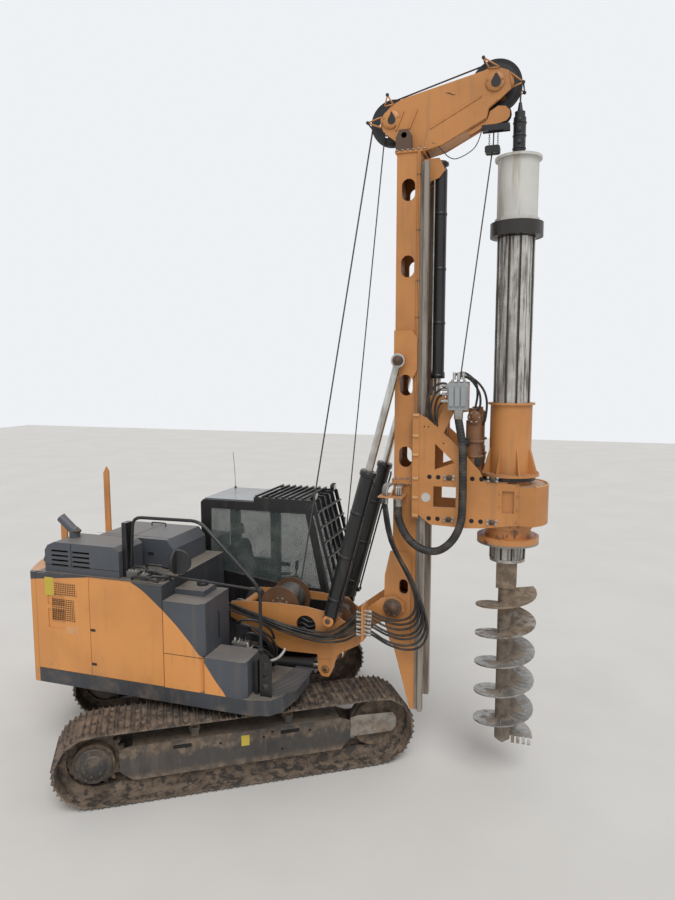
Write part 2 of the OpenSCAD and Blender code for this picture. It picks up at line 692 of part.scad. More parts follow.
boom_outline = [
    [150, 1600], [160, 1790], [330, 1810], [820, 1830], [1130, 1822], [1330, 1790], [1430, 1790],
    [1600, 1690], [2020, 2020], [2160, 2065], [2280, 1990], [2290, 1900], [2180, 1830], [1940, 1700],
    [1760, 1440], [1560, 1330], [1500, 1280], [1440, 1080], [1400, 1010], [1320, 1010], [1270, 1080],
    [1260, 1270], [860, 1260], [400, 1480],
];
module boom() color("orange") place() {
    y1 = boom_w / 2;
    y0 = y1 - boom_t;
    difference() {
        both(y0, y1) polygon(boom_outline);
        pin_y([1120, 1600], 120, -y1 - 1, y1 + 1);
        pin_y(pivot, pivot_r, -y1 - 1, y1 + 1);
        pin_y(foot, 50, -y1 - 1, y1 + 1);
        pin_y(lift_eye, pin_r, -y1 - 1, y1 + 1);
        pin_y(ram_base, pin_r, -y1 - 1, y1 + 1);
    }
    // Cross plates between the side plates
    side(-y0, y0) polygon([[860, 1262], [1260, 1272], [1500, 1285], [1750, 1445], [1740, 1465], [1490, 1310], [860, 1290]]);
    side(-y0, y0) polygon([[520, 1423], [860, 1262], [860, 1290], [530, 1447]]);
    side(-y0, y0) polygon([[1290, 1500], [1310, 1500], [1310, 1740], [1290, 1740]]);
    // Bulkhead for the hoses, with its gusset
    translate([bulkhead_x, -500, 1580]) cube([20, 500 - y1 + 2, 400]);
    translate([0, 0, 1770]) linear_extrude(16) polygon([
        [bulkhead_x - 140, -y1 + 2], [bulkhead_x + 5, -y1 + 2], [bulkhead_x + 5, -400],
    ]);
    // Foot pin, cylinder pins and the pivot pin, with their heads
    pin_y(foot, 50, -y1, y1);
    pin_y(lift_eye, pin_r, -y1 - 12, y1 + 12);
    for (s = [-1, 1]) {
        pin_y(ram_base, pin_r, s > 0 ? y0 : -ram_gauge / 2 - 50, s > 0 ? ram_gauge / 2 + 50 : -y0);
        pin_y(ram_base, 56, s > 0 ? y0 : -y1 - 15, s > 0 ? y1 + 15 : -y0);
        pin_y(pivot, 110, s > 0 ? y1 : -y1 - 30, s > 0 ? y1 + 30 : -y1);
    }
    pin_y(pivot, pivot_r, -y1 - 40, y1 + 40);
}

drum_at = [760, 1760];
aux_at = [1480, 1690];
module winch(p, r, y0, y1) {
    pin_y(p, r, y0, y1);
    for (y = [y0, y1 - 16]) pin_y(p, r + 75, y, y + 16);
    pin_y(p, 60, -boom_w / 2 + boom_t + seat, boom_w / 2 - boom_t - seat);
}
module main_drum() color("saddlebrown") place() winch(drum_at, drum_r, -200, 200);
module aux_drum() color("saddlebrown") place() winch(aux_at, 70, -120, 120);

// A cylinder's barrel from its eye at p towards q, and its rod
module barrel(p, q, y, r, rod_r, len, eye_r) difference() {
    union() {
        pin_y(p, eye_r, y - eye_w / 2, y + eye_w / 2);
        towards(p, q, y) {
            translate([0, 0, eye_r - 12]) cylinder(r = r, h = len - eye_r + 12);
            translate([0, 0, len - 60]) cylinder(r = r + 8, h = 60);
        }
    }
    pin_y(p, pin_r + run, y - eye_w, y + eye_w);
    towards(p, q, y) translate([0, 0, eye_r + 30]) cylinder(r = rod_r + 18, h = len - eye_r - 90);
    towards(p, q, y) translate([0, 0, len - 90]) cylinder(r = rod_r + run, h = 200);
}
module ram_rod(p, q, y, rod_r, start, eye_r) difference() {
    union() {
        towards(p, q, y) {
            translate([0, 0, start]) cylinder(r = rod_r, h = norm(q - p) - start - eye_r + 10);
            translate([0, 0, start]) cylinder(r = rod_r + 17.9, h = 40);
        }
        pin_y(q, eye_r, y - eye_w / 2, y + eye_w / 2);
    }
    pin_y(q, pin_r + eye_gap, y - eye_w, y + eye_w);
}

lift_y = 180;
module boom_ram_barrels() color("black") place() for (s = [-1, 1])
    barrel(lift_base, lift_eye, s * lift_y, 85, 45, 760, 70);
module boom_ram_rods() color("silver") place() for (s = [-1, 1])
    ram_rod(lift_base, lift_eye, s * lift_y, 45, 480, 70);
module mast_ram_barrels() color("black") place() for (s = [-1, 1])
    barrel(ram_base, ram_eye, s * ram_gauge / 2, ram_r, ram_rod_r, 1790, 75);
module mast_ram_rods() color("silver") place() for (s = [-1, 1])
    ram_rod(ram_base, ram_eye, s * ram_gauge / 2, ram_rod_r, 1560, 75);

module slot_hole(x, z, w, h) hull() for (s = [-1, 1]) translate([x, z + s * (h - w) / 2]) circle(r = w / 2);

// The box of the mast from z0 to z1, open at its ends
module mast_box(z0, z1) translate([0, 0, z0]) linear_extrude(z1 - z0) difference() {
    translate([mast_back, -mast_w / 2]) square([mast_d, mast_w]);
    translate([mast_back + 14, -mast_w / 2 + 14]) square([mast_d - 28, mast_w - 28]);
}
// Guide rails on its front: web and flange on each side
module mast_rails(z0, z1) for (s = [-1, 1]) translate([0, 0, z0]) linear_extrude(z1 - z0) {
    y = rail_w / 2;
    polygon([
        [mast_front, s * (y - 85)], [mast_front, s * (y - 50)], [rail_x, s * (y - 50)], [rail_x, s * y],
        [rail_x + rail_t, s * y], [rail_x + rail_t, s * (y - 85)],
    ]);
}
// What is wider than the mast's box ends behind the carriage's claws
claw_clear = rail_x - 95;
flange_d = claw_clear - mast_back + 20;
module mast_lower() color("orange") place() {
    difference() {
        union() {
            mast_box(1500, mast_flange - seat);
            mast_rails(mast_foot, mast_flange - seat);
            // The pivot's side plates
            both(mast_w / 2, mast_w / 2 + 20) polygon([
                [2120, 1500], [2060, 1700], [2040, 1850], [2050, 2280], [2110, 2560], [claw_clear, 2560],
                [claw_clear, 1500],
            ]);
            // The foot tapers to the rails
            both(mast_w / 2 - 14, mast_w / 2) polygon([
                [mast_back, 1500], [mast_front, 1500], [mast_front, mast_foot], [mast_front - 45, mast_foot],
            ]);
            side(-mast_w / 2 + 14, mast_w / 2 - 14) polygon([
                [mast_back, 1500], [mast_back + 14, 1500], [mast_front - 31, mast_foot], [mast_front - 45, mast_foot],
            ]);
            translate([mast_front - 14, -mast_w / 2 + 14, mast_foot]) cube([14, mast_w - 28, 1500 - mast_foot]);
            translate([mast_back - 20, -mast_w / 2 - 20, mast_flange - seat - 25])
                cube([flange_d, mast_w + 40, 25]);
        }
        pin_y(pivot, pivot_r + run, -mast_w, mast_w);
        side(-mast_w, mast_w) slot_hole(2265, 2165, 100, 170);
    }
    // Manifold plate that carries the hoses, with its gusset
    translate([2020, -470, manifold_z]) cube([270, 470 - mast_w / 2 + 2, 15]);
    translate([2150, 0, 0]) rotate([90, 0, 90]) linear_extrude(12) polygon([
        [-mast_w / 2 + 2, manifold_z + 5], [-460, manifold_z + 5], [-460, manifold_z + 20],
        [-mast_w / 2 + 2, manifold_z + 110],
    ]);
}
// Heights of the holes in the mast's sides
mast_holes = [3620, 4400, 5650, 6430];
module mast_upper() color("orange") place() {
    difference() {
        union() {
            mast_box(mast_flange, mast_top);
            mast_rails(mast_flange, mast_top - 100);
            translate([mast_back - 20, -mast_w / 2 - 20, mast_flange]) cube([flange_d, mast_w + 40, 25]);
            // Brackets of the mast's cylinders
            for (s = [-1, 1]) {
                both(mast_w / 2, mast_w / 2 + 60) polygon([
                    [mast_back, 4480], [mast_front - 40, 4480], [mast_front, 4560], [mast_front, 4900],
                    [mast_front - 60, 4980], [mast_back, 4980],
                ]);
                pin_y(ram_eye, 58, s > 0 ? mast_w / 2 : -ram_gauge / 2 + eye_w / 2 + 18, s > 0 ? ram_gauge / 2 - eye_w / 2 - 18 : -mast_w / 2);
                pin_y(ram_eye, pin_r, s > 0 ? mast_w / 2 : -ram_gauge / 2 - 45, s > 0 ? ram_gauge / 2 + 45 : -mast_w / 2);
            }
            // Crowd cylinder's top lug
            for (s = [-1, 1]) side(s > 0 ? 75 : -95, s > 0 ? 95 : -75) polygon([
                [mast_front, 6500], [crowd_x, 6560], [crowd_x + 60, 6640], [crowd_x, 6760], [mast_front, 6760],
            ]);
        }
        for (z = mast_holes) side(-mast_w, mast_w) slot_hole(mast_back + mast_d / 2, z, 140, 226);
        translate([mast_back + 14, -mast_w / 2 + 14, mast_flange - 1]) cube([mast_d - 28, mast_w - 28, 40]);
    }
}

head_outline = [
    [mast_back - 20, mast_top], [mast_front + 30, mast_top], [2620, 6860], [3040, 7080], [3300, 7230],
    [3390, 7400], [3330, 7590], [3160, 7650], [2990, 7600], [2350, 7290], [2200, 7380], [1990, 7380],
    [1880, 7280], [1860, 7120], [1960, 7000], [2110, 6940],
];
module mast_head() color("orange") place() {
    difference() {
        union() {
            both(110, 130) polygon(head_outline);
            translate([mast_back - 20, -mast_w / 2 - 15, mast_top]) cube([mast_d + 50, mast_w + 30, 25]);
            // Doubler along the lower edge, ribs over the mast and retainers on the sheave pins
            both(129, 138) polygon([
                [2400, mast_top + 25], [2430, 7036], [2993, 7318], [3130, 7300], [3290, 7225], [3040, 7080],
                [2620, 6860],
            ]);
            for (x = [2096, 2238]) both(129, 145) polygon([[x, 7072], [x + 18, 7064], [x + 98, 7250], [x + 80, 7258]]);
            for (p = [rear_sheave, front_sheave]) for (s = [-1, 1])
                pin_y([p[0], p[1]], 88, s > 0 ? 129 : -142, s > 0 ? 142 : -129);
            // Closing plates between the side plates
            side(-110, 110) polygon([[2440, mast_top + 20], [2620, 6862], [3040, 7082], [3032, 7098], [2610, 6880], [2440, mast_top + 40]]);
            side(-110, 110) polygon([[2420, 7308], [2850, 7520], [2840, 7536], [2412, 7326]]);
            // Pins of the sheaves
            pin_y([rear_sheave[0], rear_sheave[1]], 40, -160, 160);
            pin_y([front_sheave[0], front_sheave[1]], 40, -160, 160);
        }
    }
}

// Arm of the auxiliary sheave, between the head's side plates
module aux_arm() color("orange") place() {
    for (y = [-109.7, -48]) side(y, y < -100 ? -94 : y + 12) polygon([
        [2860, 6987.4], [3040, 7081.7], [3047, 7085], [3070, 7160], [3150, 7205], [3225, 7195], [3268, 7150],
        [3268, 7095], [3235, 7055], [3180, 7040], [2990, 7008], [2900, 6962], [2860, 6955],
    ]);
    pin_y([aux_sheave_at[0], aux_sheave_at[1]], 20, -106, -36);
}

// A rope sheave with a round groove, running on its pin
module sheave(p) translate([p[0], 0, p[1]]) rotate([90, 0, 0]) difference() {
    rotate_extrude($fn = 64) polygon([
        [40 + run, -55], [75, -55], [75, -26], [p[2] - 40, -20], [p[2], -26], [p[2], -20],
        [p[2] - 22, -9.5], [p[2] - 28, 0], [p[2] - 22, 9.5], [p[2], 20], [p[2], 26], [p[2] - 40, 20],
        [75, 26], [75, 55], [40 + run, 55],
    ]);
    for (a = [0:60:300]) rotate([0, 0, a]) translate([p[2] * 0.52, 0, -40]) cylinder(r = p[2] * 0.15, h = 80);
}
module aux_sheave() color("dimgray") place() translate([aux_sheave_at[0], -71, aux_sheave_at[1]]) rotate([90, 0, 0])
    rotate_extrude($fn = 48) polygon([
        [20 + run, -22], [38, -22], [38, -12], [aux_sheave_at[2] - 24, -10], [aux_sheave_at[2], -18],
        [aux_sheave_at[2], -13], [aux_sheave_at[2] - 14, -6], [aux_sheave_at[2] - 18, 0],
        [aux_sheave_at[2] - 14, 6], [aux_sheave_at[2], 13], [aux_sheave_at[2], 18], [aux_sheave_at[2] - 24, 10],
        [38, 12], [38, 22], [20 + run, 22],
    ]);
module sheave_rear() color("dimgray") place() sheave(rear_sheave);
module sheave_front() color("dimgray") place() sheave(front_sheave);

// The hoist rope over the head and down into the kelly bar
groove = 28 - rope_r - 2;
rope_low = 2650;
rope_r0 = rear_sheave[2] - groove;
rope_r1 = front_sheave[2] - groove;
sheave_line = [front_sheave[0] - rear_sheave[0], front_sheave[1] - rear_sheave[1]];
rope_lean = atan2(sheave_line[1], sheave_line[0]) + asin((rope_r0 - rope_r1) / norm(sheave_line));
function on_sheave(p, r, a) = [p[0] + r * cos(a), 0, p[1] + r * sin(a)];
rope_path = concat(
    [on_sheave(rear_sheave, rope_r0, rope_lean + 90)],
    [for (k = [16:-1:0]) on_sheave(front_sheave, rope_r1, (rope_lean + 90) * k / 16)],
    [[drill_x, 0, rope_low]]
);
module hoist_rope() color("dimgray") place() swept(rope_path, rope_r, 8);

module crowd_barrel() color("black") place() difference() {
    union() {
        translate([crowd_x, 0, crowd_low]) cylinder(r = crowd_r, h = crowd_high - crowd_low - 100);
        translate([crowd_x, 0, crowd_low]) cylinder(r = crowd_r + 8, h = 70);
        pin_y([crowd_x, crowd_high - 100], 60, -75 + seat, 75 - seat);
    }
    translate([crowd_x, 0, crowd_low + 90]) cylinder(r = crowd_r - 14, h = crowd_high - crowd_low - 300);
    translate([crowd_x, 0, crowd_low - 10]) cylinder(r = 40 + run, h = 120);
}
module crowd_rod() color("silver") place() {
    translate([crowd_x, 0, crowd_eye + 60]) cylinder(r = 40, h = 6530 - crowd_eye - 60);
    translate([crowd_x, 0, 6490]) cylinder(r = crowd_r - 14 - run, h = 40);
    pin_y([crowd_x, crowd_eye], 65, -70, 70);
}

carriage_y = 300;
carriage_t = 25;
// Where the rotary drive's bracket plates are bolted to the carriage
split_x = drill_x - 420;
module carriage() color("orange") place() {
    y1 = carriage_y;
    y0 = y1 - carriage_t;
    difference() {
        both(y0, y1) polygon([
            [2436, 3000], [2436, 4090], [2512, 4055], [split_x - 50, 3715], [split_x, 3660],
            [split_x, 2890], [2560, 2905],
        ]);
        // Triangular and square windows
        both(y0 - 1, y1 + 1) polygon([[2600, 3785], [2810, 3585], [2600, 3505]]);
        both(y0 - 1, y1 + 1) polygon([[2590, 3100], [2830, 3100], [2830, 3325], [2590, 3325]]);
    }
    // Claws behind the guide rails, one pair at each end
    for (z = [3010, 3340, 3700, 3970], s = [-1, 1])
        translate([rail_x - 85, s > 0 ? rail_w / 2 - 40 : -y1, z]) cube([84, y1 - rail_w / 2 + 40, 90]);
    for (s = [-1, 1]) translate([rail_x - 85, s > 0 ? rail_w / 2 + 5 : -y1, 3000])
        cube([100, y1 - rail_w / 2 - 5, 1090]);
    // Cross plates in front of the rails
    translate([rail_x + rail_t + 6, -y0, 3050]) cube([22, 2 * y0, 900]);
    translate([split_x - 22, -y0, 2900]) cube([22, 2 * y0, casing_top - 2910]);
    // Strap that carries the hose block
    side(-y1, -y0) polygon([
        [2590, 3950], [2680, 3880], [2790, 4110], [2950, 4130], [2950, 4440], [2740, 4440], [2690, 4190],
    ]);
    // Bracket that takes the crowd cylinder's rod
    for (s = [-1, 1]) side(s > 0 ? 70 + seat : -90, s > 0 ? 90 : -70 - seat) polygon([
        [rail_x + rail_t + 28, 3850], [2700, 3850], [2700, 4160], [2630, 4290], [2500, 4290],
        [rail_x + rail_t + 28, 4150],
    ]);
}

module hose_block() color("slategray") place() translate(hose_block_at[0]) {
    size = hose_block_at[1] - hose_block_at[0];
    cube(size);
    // Valve sections and caps on its outer face and top
    for (k = [0:2]) translate([12 + k * 62, -16, 40]) cube([48, 18, size[2] - 80]);
    for (k = [0:2]) translate([36 + k * 62, size[1] / 2, size[2] - 2]) cylinder(r = 16, h = 32);
}

module rotary_housing() color("orange") place() {
    y1 = carriage_y;
    y0 = y1 - carriage_t;
    x0 = split_x + seat;
    difference() {
        union() {
            // Bracket plates and the box between them
            both(y0, y1) polygon([
                [x0, 3655], [3080, 3500], [3120, casing_top], [3480, casing_top - 20], [3490, casing_z + 5],
                [3100, casing_z - 50], [x0, 2890],
            ]);
            translate([x0, -y0, casing_z]) cube([drill_x - x0, 2 * y0, casing_h]);
            // The gear casing is round in front and flat at its sides, against the plates
            intersection() {
                translate([drill_x, 0, casing_z]) cylinder(r = casing_r, h = casing_h - 40);
                translate([drill_x - 500, -y1 + 4, casing_z]) cube([1000, 2 * y1 - 8, casing_h]);
            }
            // Neck, guide tube, its foot and gussets
            translate([drill_x, 0, casing_top]) cylinder(r = guide_r + 50, h = 45);
            translate([drill_x, 0, casing_top + 45]) cylinder(r = guide_r + 90, h = 28);
            translate([drill_x, 0, casing_top + 60]) cylinder(r = guide_r, h = guide_top - casing_top - 60);
            translate([drill_x, 0, guide_top - 22]) cylinder(r = guide_r + 26, h = 22);
            for (a = [0:45:315]) translate([drill_x, 0, casing_top + 73]) rotate([90, 0, a + 22.5])
                translate([0, 0, -6]) linear_extrude(12) polygon([
                    [guide_r - 5, 0], [guide_r + 84, 0], [guide_r + 70, 40], [guide_r + 2, 270],
                    [guide_r - 5, 270],
                ]);
        }
        translate([drill_x, 0, casing_z - 100]) cylinder(r = sleeve_out + bore_gap, h = casing_h + 160);
        translate([drill_x, 0, casing_top + 40]) cylinder(r = sleeve_in, h = guide_top);
        // Rounded windows in the bracket plates
        both(y0 - 1, y1 + 1) polygon([[3310, 3080], [3430, 3080], [3430, 3310], [3310, 3310]]);
    }
}

module rotary_motors() color("saddlebrown") place() for (s = [-1, 1])
    translate([split_x + 50, s * 170, casing_top + seat]) {
        cylinder(r = 90, h = 330);
        translate([0, 0, 330]) cylinder(r = 82, h = 300);
        translate([0, 0, 630]) cylinder(r = 60, h = 130);
        translate([-75, -75, 300]) cube([150, 150, 60]);
    }

module drive_sleeve() color("gray") place() translate([drill_x, 0, 0]) difference() {
    union() {
        translate([0, 0, 2750]) cylinder(r = sleeve_out, h = casing_top + 38 - 2750);
        translate([0, 0, casing_z - 60]) cylinder(r = sleeve_out + 45, h = 60 - seat);
        translate([0, 0, 2790]) cylinder(r = sleeve_out + 20, h = casing_z - 60 - 2790);
        translate([0, 0, 2710]) cylinder(r = 327, h = 80);
    }
    translate([0, 0, 2700]) cylinder(r = sleeve_in, h = 1000);
    for (a = [0:45:315]) rotate([0, 0, a]) translate([288, 0, 2700]) cylinder(r = 14, h = 100);
}

rib_h = 18;
module kelly_outer() color("silver") place() translate([drill_x, 0, 0]) {
    r = kelly_r - rib_h;
    translate([0, 0, kelly_low]) linear_extrude(ring_z - kelly_low) difference() {
        union() {
            circle(r = r);
            for (a = [0:60:300]) rotate(a) translate([r - 8, -32]) square([rib_h + 6, 64]);
        }
        circle(r = r - kelly_t);
    }
    // Stop ring
    translate([0, 0, ring_z]) difference() {
        cylinder(r = 267, h = 140);
        translate([0, 0, -1]) cylinder(r = r - kelly_t, h = 142);
    }
}
module kelly_head() color("white") place() translate([drill_x, 0, ring_z + 140 + seat]) difference() {
    h = head_top - ring_z - 140 - seat;
    union() {
        cylinder(r = 205, h = h);
        translate([0, 0, h - 26]) cylinder(r = 235, h = 26);
        cylinder(r = 225, h = 40);
    }
    translate([0, 0, -1]) cylinder(r = 190, h = h + 2);
}
module kelly_middle() color("silver") place() translate([drill_x, 0, kelly_low]) linear_extrude(3920)
    difference() {
        union() {
            circle(r = middle_r);
            for (a = [0:60:300]) rotate(a) translate([middle_r - 8, -22]) square([20, 44]);
        }
        circle(r = middle_r - kelly_t);
    }
inner_top = head_top - 60;
module kelly_inner() color("silver") place() translate([drill_x, 0, 0]) difference() {
    union() {
        translate([0, 0, kelly_low - seat]) cylinder(r = inner_r, h = inner_top - kelly_low + seat);
        translate([0, 0, kelly_low - seat - 30]) cylinder(r = kelly_r - 4, h = 30);
        translate([-75, -75, auger_top + 30]) cube([150, 150, kelly_low - auger_top - 60]);
        translate([0, 0, inner_top - 30]) cylinder(r = inner_r + 8, h = 30);
    }
    translate([0, 0, rope_low - 40]) cylinder(r = inner_r - kelly_t, h = inner_top - rope_low);
    translate([0, 0, rope_low - 40]) cylinder(r = 30, h = inner_top - rope_low + 100);
}
module swivel() color("dimgray") place() translate([drill_x, 0, inner_top + seat]) difference() {
    union() {
        cylinder(r = 85, h = 60);
        translate([0, 0, 60]) cylinder(r = 56, h = 60);
        translate([0, 0, 120]) cylinder(r = 63, h = 330);
        translate([0, 0, 450]) cylinder(r = 52, h = 57);
        translate([0, 0, 507]) cylinder(r1 = 30, r2 = 15, h = 90);
    }
    translate([0, 0, -1]) cylinder(r = 20, h = 450);
    cylinder(r = rope_r + 0.3, h = 700);
}

// Three hoses along the boom, three up to the mast, and the wrapped bundle that hangs in a loop
function line_between(a, b, t) = [for (k = [0:len(a) - 1]) a[k] + t * (b[k] - a[k])];
module boom_hoses() color("black") place()
    for (t = [-1, 0, 1]) swept([for (p = boom_hose_line) [p[0], p[1], p[2] + t * p[3]]], hose_r, 8);
module mast_hoses() color("black") place()
    for (t = [0, 0.5, 1]) swept(line_between(mast_hose_outer, mast_hose_inner, t), hose_r, 8);
module hose_loop() color("black") place() swept(loop_line, loop_r, 8);

// The auger's flight as one swept plate: columns are radius and height over the pitch line
steps_per_turn = 24;
flight_low = auger_low + 90;
flight_turns = (auger_top - 60 - flight_low) / auger_pitch;
flight_t = 16;
module flight() {
    n = floor(flight_turns * steps_per_turn);
    ring = [[stem_r - 8, 0], [auger_r, 0], [auger_r, flight_t], [stem_r - 8, flight_t]];
    points = [
        for (k = [0:n], p = ring) let (a = k * 360 / steps_per_turn)
            [p[0] * cos(a), p[0] * sin(a), k * auger_pitch / steps_per_turn + p[1]]
    ];
    faces = concat(
        [[3, 2, 1, 0]],
        [for (k = [0:n - 1], j = [0:3]) let (m = (j + 1) % 4)
            [4 * k + j, 4 * k + m, 4 * k + 4 + j]],
        [for (k = [0:n - 1], j = [0:3]) let (m = (j + 1) % 4)
            [4 * k + m, 4 * k + 4 + m, 4 * k + 4 + j]],
        [[4 * n, 4 * n + 1, 4 * n + 2, 4 * n + 3]]
    );
    polyhedron(points = points, faces = faces, convexity = 12);
}
module auger() color("gray") place() translate([drill_x, 0, 0]) {
    translate([0, 0, flight_low]) flight();
    translate([0, 0, auger_low + 60]) cylinder(r = stem_r, h = auger_top - auger_low - 60);
    translate([0, 0, auger_low]) cylinder(r1 = 12, r2 = stem_r, h = 60);
    // Teeth under the flight's lower end
    for (x = [100 : 58 : auger_r - 50]) translate([x, 0, flight_low]) rotate([90, 0, 90])
        linear_extrude(36) polygon([[40, 2], [40, 14], [-12, 14], [-52, -44], [-40, -60], [-8, -12], [8, 2]]);
    difference() {
        translate([-105, -105, auger_top - 20]) cube([210, 210, kelly_low - seat - 34 - auger_top + 20]);
        translate([-75 - seat, -75 - seat, auger_top + 30 - seat]) cube([150 + 2 * seat, 150 + 2 * seat, 400]);
    }
}

carbody();
frame_right();
frame_left();
track_right();
track_left();
wheels_right();
wheels_left();
deck();
counterweight();
house_shell();
side_door_rear();
side_door_front();
left_door();
engine_hood();
air_box();
exhaust();
engine();
tank();
step_box();
handrail();
side_mirror();
mast_rest();
cab_shell();
cab_glass();
cab_door();
door_glass();
cab_guard();
roof_guard();
operator_seat();
boom();
main_drum();
aux_drum();
boom_ram_barrels();
boom_ram_rods();
mast_ram_barrels();
mast_ram_rods();
mast_lower();
mast_upper();
mast_head();
sheave_rear();
sheave_front();
hoist_rope();
crowd_barrel();
crowd_rod();
carriage();
rotary_housing();
rotary_motors();
drive_sleeve();
kelly_outer();
kelly_head();
kelly_middle();
kelly_inner();
swivel();
auger();
aux_arm();
aux_sheave();
hose_block();
boom_hoses();
mast_hoses();
hose_loop();
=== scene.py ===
# Rotary pile drilling rig on tracks: finish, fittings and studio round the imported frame
import json
import math

import bmesh
import bpy
import numpy as np
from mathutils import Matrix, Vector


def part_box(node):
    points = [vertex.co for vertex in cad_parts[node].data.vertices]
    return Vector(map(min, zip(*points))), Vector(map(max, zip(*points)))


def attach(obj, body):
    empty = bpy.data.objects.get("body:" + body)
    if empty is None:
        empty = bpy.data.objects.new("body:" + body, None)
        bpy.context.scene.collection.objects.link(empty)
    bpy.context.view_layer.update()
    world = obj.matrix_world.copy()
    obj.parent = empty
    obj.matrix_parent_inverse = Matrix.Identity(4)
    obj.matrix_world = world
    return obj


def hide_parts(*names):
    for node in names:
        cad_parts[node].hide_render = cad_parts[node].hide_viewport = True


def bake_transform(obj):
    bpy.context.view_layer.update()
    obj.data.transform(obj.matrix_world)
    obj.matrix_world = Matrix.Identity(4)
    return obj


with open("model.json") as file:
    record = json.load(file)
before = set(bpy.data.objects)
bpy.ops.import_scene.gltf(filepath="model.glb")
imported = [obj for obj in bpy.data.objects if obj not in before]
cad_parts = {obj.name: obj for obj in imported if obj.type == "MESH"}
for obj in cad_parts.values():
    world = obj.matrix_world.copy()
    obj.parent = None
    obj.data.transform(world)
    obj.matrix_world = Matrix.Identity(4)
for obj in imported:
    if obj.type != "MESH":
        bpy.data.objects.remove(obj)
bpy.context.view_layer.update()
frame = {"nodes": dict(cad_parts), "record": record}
nodes = frame["nodes"]
print("frame loaded:", len(nodes), "nodes")

# Places count in millimetres ahead of the house's slewing axis, to the left and up
drillAhead = 3360  # from the slewing axis to the drilling axis
kellyLow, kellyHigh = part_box("kelly_head")
drillX = (kellyLow.x + kellyHigh.x) / 2
slewX = drillX - drillAhead / 1000
ahead, left, up = np.eye(3)

# Camera as in the photograph
camera = {"place": (3.0848, -7.42, 4.54), "tiltDown": 6.58, "turn": 17.7, "lens": 27.04, "sensor": 36}


def setCamera(c):
    data = bpy.data.cameras.new("camera")
    data.lens = c["lens"]
    data.sensor_width = c["sensor"]
    data.clip_end = 200
    eye = bpy.data.objects.new("camera", data)
    eye.location = c["place"]
    eye.rotation_euler = (math.radians(90 - c["tiltDown"]), 0, math.radians(c["turn"]))
    bpy.context.scene.collection.objects.link(eye)
    bpy.context.scene.camera = eye


setCamera(camera)
print("camera set")


# Millimetres from the slewing axis to metres in the frame
def mm(points):
    return np.asarray(points, float) / 1000 + np.array([slewX, 0, 0])


def unitRows(v):
    return v / np.linalg.norm(v, axis=-1, keepdims=True)


# Each span is the Catmull-Rom cubic of its two ends and their neighbours
def smoothRoute(points, perSpan=6):
    p = np.asarray(points, float)
    p = np.vstack([2 * p[0] - p[1], p, 2 * p[-1] - p[-2]])
    t = np.linspace(0, 1, perSpan, endpoint=False)[None, :, None]
    a, b, c, d = (p[k:len(p) - 3 + k, None, :] for k in range(4))
    spans = 0.5 * (2 * b + (c - a) * t + (2 * a - 5 * b + 4 * c - d) * t ** 2
                   + (3 * b - a - 3 * c + d) * t ** 3)
    return np.vstack([spans.reshape(-1, 3), p[-2]])


# Centre plus radius times (cos a ahead + sin a across)
def circle(centre, radius, angles, across=up):
    a = np.asarray(angles)[:, None]
    return np.asarray(centre, float) + radius * (np.cos(a) * ahead + np.sin(a) * across)


# Ring point = route point + radius times (cos a times side + sin a times lift)
def tubeGrid(route, radius, sides, reference=left):
    along = unitRows(np.gradient(route, axis=0))
    side = unitRows(np.cross(along, np.asarray(reference, float)))
    lift = np.cross(along, side)
    a = (np.arange(sides) * 2 * np.pi / sides)[None, :, None]
    return route[:, None] + radius * (np.cos(a) * side[:, None] + np.sin(a) * lift[:, None])


# A profile of (distance along the axis, radius) turned round the axis through the centre
def turnedGrid(profile, centre, axis, sides):
    profile = np.asarray(profile, float)[:, :, None, None]
    axis = unitRows(np.asarray(axis, float))
    side = unitRows(np.cross(axis, up if abs(axis[2]) < 0.9 else ahead))
    a = (np.arange(sides) * 2 * np.pi / sides)[:, None]
    ring = np.cos(a) * side + np.sin(a) * np.cross(axis, side)
    return centre + profile[:, 0] * axis + profile[:, 1] * ring


# Quads between the points of a grid that closes around, and the polygons at both ends
def gridFaces(rings, sides):
    i, j = np.meshgrid(np.arange(rings - 1), np.arange(sides), indexing="ij")
    n = (j + 1) % sides
    quads = np.stack([i * sides + j, i * sides + n, (i + 1) * sides + n, (i + 1) * sides + j], -1)
    caps = [list(range(sides))[::-1], list(range((rings - 1) * sides, rings * sides))]
    return i, j, quads.reshape(-1, 4), caps


def newMesh(name, points, faces):
    mesh = bpy.data.meshes.new(name)
    mesh.from_pydata(np.reshape(points, (-1, 3)).tolist(), [], faces)
    return mesh


# A grid as a mesh, with a UV map in metres along and in turns around
def gridMesh(name, grid):
    rings, sides = grid.shape[:2]
    i, j, quads, caps = gridFaces(rings, sides)
    mesh = newMesh(name, grid, quads.tolist() + caps)
    step = np.linalg.norm(np.diff(grid.mean(1), axis=0), axis=1)
    length = np.concatenate([[0], np.cumsum(step)])
    u = np.stack([j, j + 1, j + 1, j], -1) / sides
    v = np.stack([length[i], length[i], length[i + 1], length[i + 1]], -1)
    uv = np.zeros((len(mesh.loops), 2))
    uv[:quads.size] = np.stack([u, v], -1).reshape(-1, 2)
    mesh.uv_layers.new(name="UVMap").data.foreach_set("uv", uv.ravel())
    mesh.polygons.foreach_set("use_smooth", [True] * len(quads) + [False] * len(caps))
    return mesh


def pointsOf(mesh):
    flat = np.empty(len(mesh.vertices) * 3)
    mesh.vertices.foreach_get("co", flat)
    return flat.reshape(-1, 3)


def movePoints(mesh, points):
    mesh.vertices.foreach_set("co", points.ravel())
    mesh.update()
    return mesh


